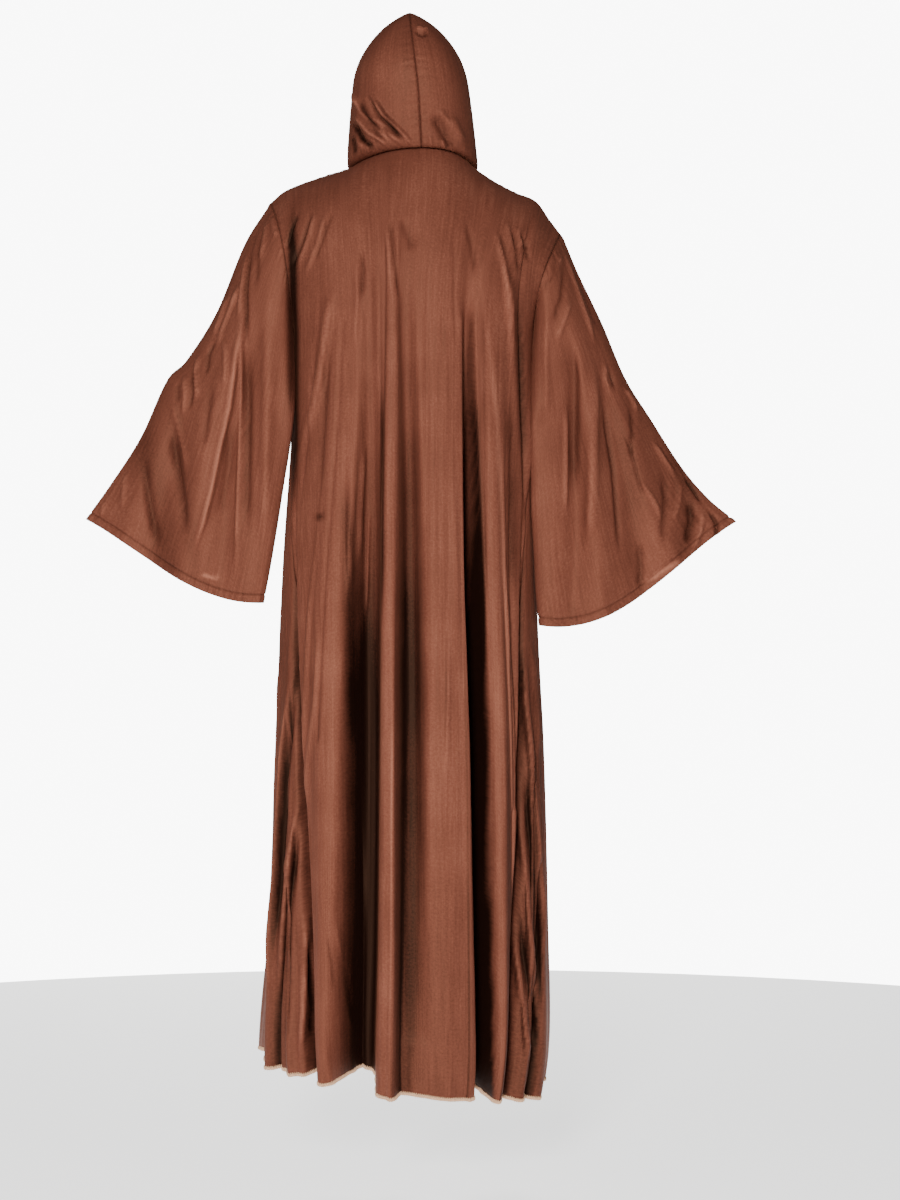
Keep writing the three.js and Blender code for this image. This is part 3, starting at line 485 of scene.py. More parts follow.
# Paler and darker parts of the cloth, mostly painted shade and painted highlights, in the same form: a half
# width, how much paler (or darker, below 0), how crisp its edges are, and then the points.
TONES = {
    "back": [
        # Painted shade in the beds of the troughs and of the pleat, from the left, and the lower back drawn
        # a little darker
        (8, -0.34, 2, 98, -480, 96, -640, 88, -920),
        (22, -0.42, 3, 86, -620, 82, -780, 83, -1140, 86, -1410, 86, -1700),
        (4, -0.45, 2, 46, -340, 44, -440, 44, -620, 46, -740),
        (12, -0.22, 2, 8, -380, 8, -560, 5, -800, 2, -1000, 2, -1500),
        (6, -0.5, 2, -92, -320, -99, -460, -102, -560, -102, -780),
        (13, -0.8, 6, -99, -480, -101, -850, -103, -1078, -109, -1260, -113, -1700),
        (7, -0.25, 2, -147, -360, -150, -480, -154, -620, -156, -700),
        (170, -0.09, 2, -40, -1000, -40, -1900),
        # The shade beside the armhole seams
        (8, -0.35, 2, -160, -180, -166, -319, -169, -395, -173, -480),
        (7, -0.75, 2, 186, -40, 184, -200, 182, -425, 186, -560),
        # Painted highlights along the ridges, and a smudge
        (3.5, 0.22, 2, -88, -126, -102, -182, -117, -291, -129, -395,
         -138, -560, -146, -774, -153, -1000, -155, -1200),
        (3.5, 0.15, 2, -137, -140, -149, -243, -158, -320),
        (2.5, 0.3, 2, 29, -800, 28, -1100, 28, -1500),
        (2.5, 0.15, 2, 22, -260, 22, -450, 22, -680),
        (7, -0.4, 2, 143, -548, 139, -562),
    ],
    # The fronts are in shade beside the side seams
    "front_left": [(45, -0.12, 4, 200, -540, 198, -746, 198, -1060, 198, -1700)],
    "front_right": [(50, -0.2, 4, -190, -540, -188, -746, -180, -1060, -175, -1700)],
    # Both halves of the hood are drawn a little darker. On the left half, painted shade in the troughs
    # between its folds and painted highlights on their ridges.
    "hood_left": [
        (200, -0.05, 2, 0, -60, 0, 100, 0, 300),
        (4, -0.3, 2, 86, 92, 66, 60, 45, 22),
        (3, -0.3, 2, 62, 92, 40, 58, 12, 19),
        (3, 0.16, 2, 74, 96, 52, 56, 34, 16),
        (3, -0.3, 2, 95, 62, 78, 30, 58, 8),
        (2, 0.25, 2, 97, 102, 80, 70, 48, 34, 20, 14),
        (3, -0.3, 2, 93, 40, 88, 4),
    ],
    "hood_right": [(200, -0.05, 2, 0, -60, 0, 100, 0, 300)],
    # On the sleeves: painted shade over broad parts and beside the left armhole seam, a painted highlight
    # along a ridge of the left sleeve, and pale streaks near the cuffs
    "sleeve_left": [
        (22, -0.14, 2, 437, -380, 400, -520, 366, -680),
        (13, -0.1, 2, 385, -340, 352, -500, 330, -680),
        (3, 0.16, 2, 264, -233, 275, -311, 287, -388, 301, -450, 313, -512, 326, -567, 346, -640),
        (3, 0.45, 2, 330, -643, 312, -648, 296, -650),
        (6, -0.4, 2, 196, -40, 190, -200, 188, -440),
    ],
    "sleeve_right": [
        (22, -0.12, 2, -305, -320, -335, -480, -348, -700),
        (16, -0.16, 2, -396, -420, -432, -530, -412, -650),
        (4, 0.4, 2, -370, -650, -395, -634, -420, -620),
        (3, 0.3, 2, -360, -655, -384, -645),
    ],
}
# Painted shade where the cloth lies sunk below its neighbours: columns looked at on each side, the depths
# between which the shade grows, and how dark it gets
PAINTED_DEPTH_SHADE = ((6, 0.4, 4, 0.16), (18, 4, 28, 0.45))
# Painted highlight where the cloth stands above its neighbours
RIDGE_PAINTED_HIGHLIGHT = 0.05
STEEP_PAINTED_SHADE = 0.34  # painted shade on the sides of the folds, which tilt away from the cloth round them
STEEP_START = 0.12
STEEP_GROWS = 0.5
SEAM_TONE = 0.2
GROOVE_PAINTED_SHADE = 0.14  # painted shade for a crease as deep as its half width
# painted highlight for a crease as high as its half width
CREST_PAINTED_HIGHLIGHT = 0.1
UPPER_PAINTED_SHARE = 0.3  # the share of the folds' painted shade and highlight that is left above UPPER_Z, where they are shallow
UPPER_Z = -540
UPPER_FADE = 300


def lerp(a, b, t):
    return a + (b - a) * t


def smooth(t):
    t = np.clip(t, 0, 1)
    return t * t * (3 - 2 * t)


def powered(c, power):
    return np.sign(c) * np.abs(c) ** power


def bell(away, wide):
    """1 on a line, and fading away from it on both sides."""
    return np.exp(-((away / wide) ** 2))


def points(x, y, z):
    return np.stack(np.broadcast_arrays(x, y, z), -1).astype(float)


def sampled(line, places, at):
    """Points of a line whose own points lie at known places, read at other places."""
    return np.stack([np.interp(at, places, axis) for axis in line.T], -1)


def side_name(side):
    return "left" if side > 0 else "right"


def read(rows, column, at):
    """A column of a table at any places of its first column, as a smooth curve through the rows."""
    keys, values = next(iter(rows.values())), rows[column]
    if keys[1] < keys[0]:
        keys, values = keys[::-1], values[::-1]
    last = len(keys) - 1
    after = np.minimum(np.arange(last + 1) + 1, last)
    before = np.maximum(np.arange(last + 1) - 1, 0)
    slope = (values[after] - values[before]) / (keys[after] - keys[before])
    at = np.clip(at, keys[0], keys[-1])
    i = np.clip(np.searchsorted(keys, at, side="right") - 1, 0, last - 1)
    h = keys[i + 1] - keys[i]
    t = (at - keys[i]) / h
    return (
        (2 * t**3 - 3 * t**2 + 1) * values[i]
        + (t**3 - 2 * t**2 + t) * h * slope[i]
        + (3 * t**2 - 2 * t**3) * values[i + 1]
        + (t**3 - t**2) * h * slope[i + 1]
    )


def ripple(s, pitch, phase=0.0):
    """An uneven wave, as gathered thread gives."""
    turn = 2 * np.pi * np.asarray(s) / pitch
    return (
        np.sin(turn + phase)
        + 0.7 * np.sin(turn * 0.618 + 2.3 * phase + 1)
        + 0.5 * np.sin(turn * 1.41 + 4.1 * phase + 2)
    ) / 1.6


def body_fold(angle, z):
    """How far the hanging folds push the cloth out."""
    angle, z = np.broadcast_arrays(np.asarray(angle, float), np.asarray(z, float))
    out = np.zeros(angle.shape)
    for f in FOLDS:
        stations = table(
            "z angle wide high",
            (f["topZ"], f["top"], f["wide"] * FOLD_TIP, 0),
            (f["midZ"], f["mid"], f["wide"], f["high"]),
            (f["end"], f["low"], f["lowWide"], f["lowHigh"]),
        )
        on = (z < f["topZ"]) & (z >= f["end"])
        away = np.radians(angle - read(stations, "angle", z)) * FOLD_GIRTH
        wide = read(stations, "wide", z) * np.where(away > 0, 1 + f["skew"], 1 - f["skew"])
        share = np.minimum(np.abs(away) / wide, 4)
        out += np.where(on, read(stations, "high", z) * np.exp(-(share ** f["crisp"])), 0)
    fine = 0.25 * ripple(angle + 0.006 * z, 5.3, 1.3) + 0.15 * ripple(angle - 0.005 * z, 3.1, 0.4)
    return out + fine * smooth((-100 - z) / 200)


def ring_point(angle, z):
    """A point of the body at an angle and a height, folds included."""
    sine, cosine = np.sin(np.radians(angle)), np.cos(np.radians(angle))
    s, c = powered(sine, RING_POWER), powered(cosine, RING_POWER)
    wide = np.where(s >= 0, read(BODY_LEVELS, "left", z), read(BODY_LEVELS, "right", z))
    deep = np.where(c >= 0, read(BODY_LEVELS, "back", z), read(BODY_LEVELS, "front", z))
    out = points(sine / wide, cosine / deep, 0)
    out /= np.linalg.norm(out, axis=-1, keepdims=True)
    return points(wide * s, deep * c, z) + out * body_fold(angle, z)[..., None]


def hem_z(angle):
    level = HEM_Z + HEM_TILT * np.sin(np.radians(angle)) - HEM_DIP_BACK * np.cos(np.radians(angle))
    return level - HEM_DROOP * body_fold(angle, level)


def front_edge_angle(z):
    opened = lerp(FRONT_GAP_TOP, FRONT_GAP_HEM, np.clip(np.asarray(z) / HEM_Z, 0, 1))
    return 180 - np.degrees(np.arcsin((opened / read(BODY_LEVELS, "left", z)) ** (1 / RING_POWER)))


def seam_angle(side, z):
    return read(SIDE_SEAMS, side_name(side), z)


def neckline(angle):
    s, c = np.sin(np.radians(np.abs(angle))), np.cos(np.radians(angle))
    y = np.where(c >= 0, NECK_BACK, NECK_FRONT) * powered(c, NECK_POINTED)
    rise = np.where(c >= 0, NAPE_Z, THROAT_Z) - NECK_SIDE_Z
    x = np.sign(angle) * NECK_HALF_WIDTH * s + NAPE_SHIFT * np.maximum(c, 0) ** 2
    return points(x, y, NECK_SIDE_Z + rise * np.abs(c) ** 1.5)


def neck_angle(share):
    return 45 * share + 0.5 * np.degrees(np.arcsin(share))


def shoulder(side, at):
    seam = SHOULDER_SEAMS[side_name(side)]
    return points(side * read(seam, "x", at), 0, read(seam, "z", at))


def upper_rows(angle, top, outward, ease, t):
    """Rows above the underarm: each column is one curve up to its top point."""

    def get(column):
        return read(TOP_EASE[ease], column, outward)

    foot = ring_point(angle, UNDERARM_Z)
    side = np.where(angle < 0, -1, 1)
    rise = foot + points(side * get("riseX"), get("riseY"), get("riseZ"))
    lean = top + points(side * get("leanX"), get("leanY"), get("leanZ"))
    u = t[..., None]
    p = foot * (1 - u) ** 3 + 3 * rise * u * (1 - u) ** 2 + 3 * lean * u**2 * (1 - u) + top * u**3
    settle = body_fold(angle, p[..., 2]) - body_fold(angle, UNDERARM_Z) * (1 - t)
    p[..., 1] += (1 if ease == "back" else -1) * settle * (1 - smooth(t))
    return p


def body_panel(angle_at, top, outward, ease):
    foot = hem_z(angle_at(np.full(outward.shape, float(HEM_Z))))
    z = lerp(foot, UNDERARM_Z, np.linspace(0, 1, BODY_ROWS + 1)[:, None])
    t = np.linspace(0, 1, ARMHOLE_ROWS + 1)[1:, None]
    angle = angle_at(np.full(outward.shape, float(UNDERARM_Z)))
    return np.concatenate([ring_point(angle_at(z), z), upper_rows(angle, top, outward, ease, t)])


def back_panel():
    """Columns run from the left side seam to the right one."""
    left, right = SHOULDER_COLUMNS["left"], SHOULDER_COLUMNS["right"]
    neck = NECK_BACK_COLUMNS
    at = np.linspace(-left - neck, neck + right, (left + 2 * neck + right) * BACK_FINE + 1)
    side = np.where(at > 0, -1, 1)
    from_centre = np.abs(at)
    on_neck = from_centre <= neck
    share = np.clip((from_centre - neck) / np.where(side > 0, left, right), 0, 1)
    on = np.clip(from_centre / neck, 0, 1)

    def angle_at(z):
        past = from_centre - neck
        outer = (past - RIGHT_INNER_COLUMNS) / (right - RIGHT_INNER_COLUMNS)
        on_left = lerp(NECK_ZONE, seam_angle(1, z), past / left)
        inner_right = lerp(NECK_ZONE, RIGHT_INNER_ANGLE, past / RIGHT_INNER_COLUMNS)
        on_right = np.where(outer > 0, lerp(RIGHT_INNER_ANGLE, seam_angle(-1, z), outer), inner_right)
        return side * np.where(on_neck, NECK_ZONE * on, np.where(side > 0, on_left, on_right))

    top = np.where(
        on_neck[:, None],
        neckline(side * neck_angle(on)),
        np.where(side[:, None] > 0, shoulder(1, share), shoulder(-1, share)),
    )
    outward = np.where(on_neck, NECK_POINT * on, lerp(NECK_POINT, 1, share))
    return body_panel(angle_at, top, outward, "back")


def front_panel(side):
    """Columns run from the side seam to the free front edge."""
    outer = SHOULDER_COLUMNS[side_name(side)]
    total = outer + NECK_FRONT_COLUMNS
    at = np.linspace(0, total, total * FRONT_FINE + 1)
    on_neck = (at > outer)[:, None]
    neck = np.clip((at - outer) / NECK_FRONT_COLUMNS, 0, 1)
    along = np.clip(at / outer, 0, 1)
    top = np.where(on_neck, neckline(side * lerp(90, THROAT_ANGLE, neck)), shoulder(side, 1 - along))
    outward = np.where(on_neck[:, 0], NECK_POINT * (1 - neck), lerp(1, NECK_POINT, along))

    def angle_at(z):
        return side * lerp(seam_angle(side, z), front_edge_angle(z), at / total)

    return body_panel(angle_at, top, outward, "front")


def sleeve_fold(side, face, at, down, apart):
    """How far the folds of a sleeve push the cloth out, on its back or its front face."""
    out = 0
    for f in SLEEVE_FOLDS[side_name(side)]:
        t = (at - f["at"]) / (f["toAt"] - f["at"])
        away = (down - lerp(f["down"], f["toDown"], t)) * apart
        ends = smooth(t / FOLD_GROWS) * smooth(1 + (1 - t) / FOLD_FADES)
        here = (face * f["face"] > 0) & (at > f["at"])
        out = out + np.where(here, f["high"] * ends * bell(away, f["wide"]), 0)
    return out


def sleeve_panel(side, back_edge, front_edge):
    """Rings from the armhole to the cuff. A ring starts under the arm and goes up the back."""
    hole = np.concatenate([back_edge, front_edge[1:-1][::-1]])
    n = len(hole) * SLEEVE_PER_ROW
    turn = np.arange(n) / n
    ring = np.vstack([hole, hole[:1]])
    held = sampled(ring, np.arange(len(ring)), np.arange(n) / SLEEVE_PER_ROW)
    lines, size = SLEEVE_LINES[side_name(side)], SLEEVE_SIZES[side_name(side)]
    face = np.sin(2 * np.pi * turn)

    def free(at):
        def get(column):
            return read(lines, column, at)

        from_top = ((1 + np.cos(2 * np.pi * turn)) / 2) ** (1 - SLEEVE_HANG * at)
        bow = size["hemBow"] * at**4 * face**2
        x = lerp(get("topX"), get("lowX"), from_top) + HEM_BOW_SLANT * bow
        z = lerp(get("topZ"), get("lowZ"), from_top) - bow
        apart = np.hypot(get("topX") - get("lowX"), get("topZ") - get("lowZ"))
        fold = sleeve_fold(side, face, at, from_top, apart)
        middle = size["lowBack"] * smooth(at * 3) * from_top**2 - size["forward"] * at * (1 - from_top)
        deep = lerp(get("deepTop"), get("deepLow"), from_top)
        return points(side * x, middle + face * deep + np.cbrt(face) * fold, z)

    under = (1 + np.cos(2 * np.pi * turn)) / 2
    dip = np.radians(lerp(SLEEVE_DIP_OVER, SLEEVE_DIP_UNDER, under))
    reach = SLEEVE_STEP * lerp(1, SLEEVE_UNDER_STEP, under)
    step = points(side * np.cos(dip) * reach, 0, -np.sin(dip) * reach)
    start = held + step - free(0.0)
    rings = [held, held + 0.3 * step, held + 0.6 * step]
    near_cuff = np.linspace(SLEEVE_HEM_FROM, 1, SLEEVE_HEM_ROWS + 1)[1:]
    for at in np.concatenate([np.linspace(0, SLEEVE_HEM_FROM, SLEEVE_ROWS), near_cuff]):
        rings.append(free(at) + start * (1 - smooth(at / SLEEVE_FADE_TO)))
    grid = np.array(rings)
    return grid if side > 0 else np.roll(grid[:, ::-1], 1, axis=1)


def hood_panel(side):
    """Rows from the neck seam up to the ridge, columns from the front edge to the back seam."""
    ups = np.linspace(0, 1, HOOD_ROWS + 1)[:, None]
    at = 0.6 * ups + 0.4 * ups**2
    t = np.linspace(0, 1, NECK_FRONT_COLUMNS * HOOD_FINE + 1)[:-1]
    share = np.linspace(1, 0, NECK_BACK_COLUMNS * HOOD_FINE + 1)

    def line(rows):
        return [read(rows, column, at) for column in "xyz"]

    centre = read(HOOD_BACK, "centre", at)
    front, wide, back = line(HOOD_FRONT), line(HOOD_SIDE), line(HOOD_BACK)
    front[0] = side * front[0] + centre
    wide[0] = side * wide[0] + centre
    ahead = points(
        lerp(front[0], wide[0], np.sin(t * np.pi / 2)),
        lerp(front[1], wide[1], t),
        lerp(front[2], wide[2], t),
    )
    turn = np.radians(90 - neck_angle(share))
    behind = points(
        lerp(back[0], wide[0], np.cos(turn) ** HOOD_BACK_ROUND),
        lerp(wide[1], back[1], np.sin(turn) ** HOOD_BACK_ROUND),
        lerp(wide[2], back[2], 1 - np.cos(turn) ** HOOD_SEAM_EASE),
    )
    grid = np.concatenate([ahead, behind], axis=1)
    neck = neckline(side * np.concatenate([lerp(THROAT_ANGLE, 90, t), neck_angle(share)]))
    grid += (neck - grid[0]) * (1 - smooth(at / 0.08))[..., None]
    return grid if side > 0 else grid[:, ::-1]


def unit(v):
    return v / np.maximum(np.linalg.norm(v, axis=-1, keepdims=True), 1e-9)


def normals_of(grid, closed=False):
    across = np.roll(grid, -1, 1) - np.roll(grid, 1, 1) if closed else np.gradient(grid, axis=1)
    return unit(np.cross(across, np.gradient(grid, axis=0)))


def from_behind(normals):
    """1 where the cloth faces the back, and 0 where it faces the front."""
    return smooth(normals[..., 1] * 4)


def walked(grid, axis):
    """The distance along the cloth from the first row or column."""
    steps = np.linalg.norm(np.diff(grid, axis=axis), axis=-1)
    start = np.zeros_like(np.take(steps, [0], axis=axis))
    return np.concatenate([start, np.cumsum(steps, axis=axis)], axis=axis)


def from_edges(grid):
    """Distances from the four edges of a panel: first and last row, first and last column."""
    up, across = walked(grid, 0), walked(grid, 1)
    return up, up[-1:] - up, across, across[:, -1:] - across


def crease(grid, line, wide, high, crisp=2):
    """A ridge (or a groove, below 0) along a line, fading at both ends."""
    line = np.array(line, float).reshape(-1, 2)
    place = grid[..., [0, 2]]
    lengths = np.linalg.norm(np.diff(line, axis=0), axis=1)
    best = np.full(place.shape[:2], 1e9)
    along = np.zeros(place.shape[:2])
    done = 0
    for a, b, length in zip(line[:-1], line[1:], lengths):
        t = np.clip(((place - a) @ (b - a)) / length**2, 0, 1)
        away = np.linalg.norm(place - (a + t[..., None] * (b - a)), axis=-1)
        along = np.where(away < best, (done + t * length) / lengths.sum(), along)
        best = np.minimum(best, away)
        done += length
    ends = smooth(along / 0.25) * smooth((1 - along) / 0.25)
    return high * ends * np.exp(-((best / wide) ** crisp))


def sewn(name, grid, seams, closed=False, stitched=None, frilled=False):
    """The creases of one panel, and the small gathers beside its seams. The cloth stands a little over each
    seam, which leaves the seam drawn in. Each seam is given how far its gathers stand out and how far they
    are apart. A stitched edge has a line of stitches along its hem, and a frilled one hangs in waves. Gives
    the new grid, and a tone: painted shade in the grooves of the creases and painted highlights on their
    crests, with dark lines along the seams and the stitches."""
    normals = normals_of(grid, closed)
    up, down, before, after = from_edges(grid)
    away_from = {"bottom": up, "top": down, "start": before, "end": after}
    along = {"bottom": before, "top": before, "start": up, "end": up}
    out = np.full(grid.shape[:2], SEAM_LIFT)
    tone = np.zeros(grid.shape[:2])
    for wide, high, *line in CREASES.get(name, []):
        shape = crease(grid, line, wide, high) * from_behind(normals)
        out += shape
        # Painted shade in a crease's groove, painted highlight on its crest
        tone += shape / wide * (GROOVE_PAINTED_SHADE if high < 0 else CREST_PAINTED_HIGHLIGHT)
    lift = np.ones(grid.shape[:2])
    for edge, (pucker, pitch) in seams.items():
        away = away_from[edge]
        lift *= 1 - bell(away, SEAM_WIDE)
        out += pucker * ripple(along[edge], pitch, len(edge)) * np.exp(-away / GATHER_REACH)
        tone -= SEAM_TONE * bell(away, SEAM_LINE)
    out *= lift
    if frilled:
        out += FRILL * ripple(before, FRILL_PITCH, 2) * np.exp(-up / FRILL_REACH)
    if stitched:
        away = away_from[stitched]
        out -= STITCH_SUNK * bell(away - STITCH_LINE, STITCH_WIDE)
        waves = ripple(along[stitched], HEM_WAVE_PITCH, 1)
        out += HEM_WAVE * waves * bell(away - STITCH_LINE / 2, HEM_WAVE_WIDE)
        tone -= SEAM_TONE * bell(away - STITCH_LINE, STITCH_THREAD)
    return grid + normals * out[..., None], tone


def eased(grid, columns, reach):
    """Smooths the cloth across its columns where the top edge has a corner. The edge itself stays."""
    top = grid.shape[0] - 1
    rows = np.arange(grid.shape[0])[:, None]
    across = np.arange(grid.shape[1])[None]
    near = np.zeros(grid.shape[:2])
    for column in columns:
        near = np.maximum(near, smooth(1.6 * (1 - np.abs(across - column) / reach)))
    # It grows over the first 12 rows above the underarm, and fades over the last 6 below the edge.
    weight = (near * smooth((top - rows) / 6) * smooth((rows - BODY_ROWS) / 12))[..., None]
    for _ in range(EASE_ROUNDS):
        middle = (grid[:, :-2] + 2 * grid[:, 1:-1] + grid[:, 2:]) / 4
        grid[:, 1:-1] = lerp(grid[:, 1:-1], middle, weight[:, 1:-1])
    return grid


def turned(grid, axis, end):
    """Adds a turned hem on one edge: the cloth goes round the edge and back along the inside."""

    def edge_first(lines):
        lines = lines if axis == 0 else np.swapaxes(lines, 0, 1)
        return lines[::-1] if end else lines

    lines, normals = edge_first(grid), edge_first(normals_of(grid))
    away = walked(lines, 0)
    extra = []
    for from_edge, inset in HEM_TURN:
        p = np.empty_like(lines[0])
        for c in range(lines.shape[1]):
            i = min(np.searchsorted(away[:, c], from_edge), len(lines) - 1)
            t = (from_edge - away[i - 1, c]) / (away[i, c] - away[i - 1, c])
            p[c] = lerp(lines[i - 1, c], lines[i, c], t) - lerp(normals[i - 1, c], normals[i, c], t) * inset
        extra.append(p)
    lines = np.concatenate([np.array(extra), lines])
    lines = lines[::-1] if end else lines
    return lines if axis == 0 else np.swapaxes(lines, 0, 1)


def blurred(grid, reach, closed=False):
    """The grid averaged over its neighbours in each row, twice."""
    for _ in range(2):
        wide = np.pad(grid, ((0, 0), (reach + 1, reach), (0, 0)), "wrap" if closed else "edge")
        total = np.cumsum(wide, axis=1)
        grid = (total[:, 2 * reach + 1 :] - total[:, : -2 * reach - 1]) / (2 * reach + 1)
    return grid


def toned(name, grid, closed=False):
    """Where the cloth is drawn paler, or darker (below 0). The photograph shows it nearly black deep in its
    folds and on their steep sides, and pale along the ridges: part of that is painted here as shade and
    highlight, with the lines of TONES added."""
    tone = np.zeros(grid.shape[:2])
    for reach, start, full, darker in PAINTED_DEPTH_SHADE:
        broad = blurred(grid, reach, closed)
        outward = normals_of(broad, closed)
        sunk = ((broad - grid) * outward).sum(-1)
        tone -= darker * smooth((sunk - start) / (full - start))
        tone += RIDGE_PAINTED_HIGHLIGHT * smooth((-sunk - start) / (full - start))
    steep = 1 - (normals_of(grid, closed) * outward).sum(-1)
    tone -= STEEP_PAINTED_SHADE * smooth((steep - STEEP_START) / STEEP_GROWS)
    tone *= lerp(UPPER_PAINTED_SHARE, 1, smooth((UPPER_Z - grid[..., 2]) / UPPER_FADE))
    for wide, high, crisp, *line in TONES.get(name, []):
        tone += crease(grid, line, wide, high, crisp) * from_behind(outward)
    return tone


def linear(colour):
    """A hex colour as the linear values that a shader takes."""
    parts = [int(colour[i : i + 2], 16) / 255 for i in (1, 3, 5)]
    return (*(c / 12.92 if c <= 0.04045 else ((c + 0.055) / 1.055) ** 2.4 for c in parts), 1)


def add(tree, kind, inputs=(), **settings):
    """Adds a shader node with its settings. An input is a value, or the socket that it is linked from."""
    node = tree.nodes.new("ShaderNode" + kind)
    for name, value in settings.items():
        setattr(node, name, value)
    for name, value in dict(inputs).items():
        if isinstance(value, bpy.types.NodeSocket):
            tree.links.new(value, node.inputs[name])
        else:
            node.inputs[name].default_value = value
    return node


def new_material(name):
    material = bpy.data.materials.new(name)
    material.use_nodes = True
    material.node_tree.nodes.clear()
    return material, material.node_tree


def satin_tricot():
    """Warp-knitted polyester with a satin face: fine wales down the cloth, soft long highlights."""
    material, tree = new_material("satin_tricot")
    place = add(tree, "TexCoord").outputs["UV"]
    # Real wales are 0.7 mm apart. They are drawn 5 mm apart, to show in the render. The node puts 20
    # radians of its wave on one unit.
    scale = 2 * math.pi / (20 * WALE_PITCH * MM)
    wave = {"Vector": place, "Scale": scale, "Distortion": 0.6, "Detail": 1.0, "Detail Scale": 2.0}
    wales = add(tree, "TexWave", wave, wave_type="BANDS", bands_direction="X", wave_profile="SIN")
    long_way = add(tree, "Mapping", {"Vector": place, "Scale": (1, 0.035, 1)}).outputs[0]
    # Streaks 4 mm wide and 110 mm long down the cloth, clouds of tone 110 mm wide, and a grain of 3.5 mm,
    # which is coarser than the yarn so that it shows.
    noises = ((long_way, 260, 3.0, 0.6), (place, 9, 3.0, 0.55), (place, 280, 2.0, 0.8))
    streaks, clouds, grain = (
        add(tree, "TexNoise", {"Vector": way, "Scale": scale, "Detail": detail, "Roughness": rough})
        for way, scale, detail, rough in noises
    )
    # The tone attribute carries the painted shade and painted highlights of the folds, with the seams' dark
    # lines, a smudge and pale streaks
    drawn = add(tree, "Attribute", attribute_name="tone")
    shade = 0.05
    for part, share in ((streaks, 0.34), (clouds, 0.3), (grain, 0.44), (drawn, 1)):
        inputs = {0: part.outputs["Fac"], 1: share, 2: shade}
        shade = add(tree, "Math", inputs, operation="MULTIPLY_ADD").outputs[0]
    ramp = add(tree, "ValToRGB", {"Fac": shade})
    # The ramp's near-black end is the painted shade deep in the folds
    ramp.color_ramp.elements[0].color = linear("#120604")
    ramp.color_ramp.elements[1].color = linear("#8c5846")
    for position, colour in ((0.3, "#43231a"), (0.6, "#65392c")):
        ramp.color_ramp.elements.new(position).color = linear(colour)
    rough = {"Value": streaks.outputs["Fac"], "From Min": 0.3, "From Max": 0.7, "To Min": 0.5, "To Max": 0.6}
    sheen = add(tree, "MapRange", rough)
    relief = {0: grain.outputs["Fac"], 1: 0.8, 2: wales.outputs["Fac"]}
    height = add(tree, "Math", relief, operation="MULTIPLY_ADD").outputs[0]
    bump = add(tree, "Bump", {"Height": height, "Strength": 0.25, "Distance": 0.0002})
    cloth = add(tree, "BsdfPrincipled", {
        "Base Color": ramp.outputs["Color"],
        "Roughness": sheen.outputs["Result"],
        "Normal": bump.outputs["Normal"],
        "IOR": 1.5,
        "Specular IOR Level": 0.28,
        "Specular Tint": linear("#d39a7c"),
        "Sheen Weight": 0.06,
        "Sheen Roughness": 0.4,
        "Sheen Tint": linear("#d98a6a"),
    })
    add(tree, "OutputMaterial", {"Surface": cloth.outputs[0]})
    return material


def tan_overlock_thread():
    """Spun polyester sewing thread: dull, and mottled every millimetre or so by its twist."""
    material, tree = new_material("tan_overlock_thread")
    place = add(tree, "TexCoord").outputs["Object"]
    twist = add(tree, "TexNoise", {"Vector": place, "Scale": 900, "Detail": 2.0})
    ramp = add(tree, "ValToRGB", {"Fac": twist.outputs["Fac"]})
    ramp.color_ramp.elements[0].position = 0.3
    ramp.color_ramp.elements[0].color = linear("#9a6c4c")
    ramp.color_ramp.elements[1].position = 0.7
    ramp.color_ramp.elements[1].color = linear("#d6b08c")
    bump = add(tree, "Bump", {"Height": twist.outputs["Fac"], "Strength": 0.4, "Distance": 0.0002})
    thread = add(tree, "BsdfPrincipled", {
        "Base Color": ramp.outputs["Color"],
        "Roughness": 0.7,
        "Normal": bump.outputs["Normal"],
        "Sheen Weight": 0.2,
    })
    add(tree, "OutputMaterial", {"Surface": thread.outputs[0]})
    return material


def pale_paper():
    """The floor's matt white paper. Its own glow keeps it near the white of the backdrop."""
    material, tree = new_material("pale_paper")
    paper = add(tree, "BsdfPrincipled", {
        "Base Color": linear("#f2f2f0"),
        "Roughness": 0.9,
        "Emission Color": linear("#f6f6f6"),
        "Emission Strength": 1.4,
    })
    add(tree, "OutputMaterial", {"Surface": paper.outputs[0]})
    return material


def grid_mesh(name, grid, closed, tone=None):
    """A mesh laid on a grid of points, with a UV map in metres along the cloth."""
    if closed:
        grid = np.concatenate([grid, grid[:, :1]], axis=1)
    rows, columns = grid.shape[:2]
    bm = bmesh.new()
    bmesh.ops.create_grid(bm, x_segments=columns - 1, y_segments=rows - 1, size=1)
    flat = np.array([v.co[:2] for v in bm.verts])
    c = np.rint((flat[:, 0] + 1) / 2 * (columns - 1)).astype(int)
    r = np.rint((flat[:, 1] + 1) / 2 * (rows - 1)).astype(int)
    mesh = bpy.data.meshes.new(name)
    bm.to_mesh(mesh)
    mesh.vertices.foreach_set("co", (grid[r, c] * MM).ravel())
    across, up = walked(grid, 1), walked(grid, 0)
    middle = rows // 2
    uv = np.stack([np.broadcast_to(across[middle], across.shape), up], -1) * MM
    corner = np.empty(len(mesh.loops), int)
    mesh.loops.foreach_get("vertex_index", corner)
    layer = mesh.uv_layers.new(name="cloth")
    layer.uv.foreach_set("vector", uv[r[corner], c[corner]].ravel())
    if tone is not None:
        if closed:
            tone = np.concatenate([tone, tone[:, :1]], axis=1)
        mesh.attributes.new("tone", "FLOAT", "POINT").data.foreach_set("value", tone[r, c])
    if closed:
        bm.clear()
        bm.from_mesh(mesh)
        bmesh.ops.remove_doubles(bm, verts=bm.verts, dist=1e-6)
        bm.to_mesh(mesh)
    bm.free()
    mesh.polygons.foreach_set("use_smooth", np.ones(len(mesh.polygons), bool))
    mesh.update()
    return mesh


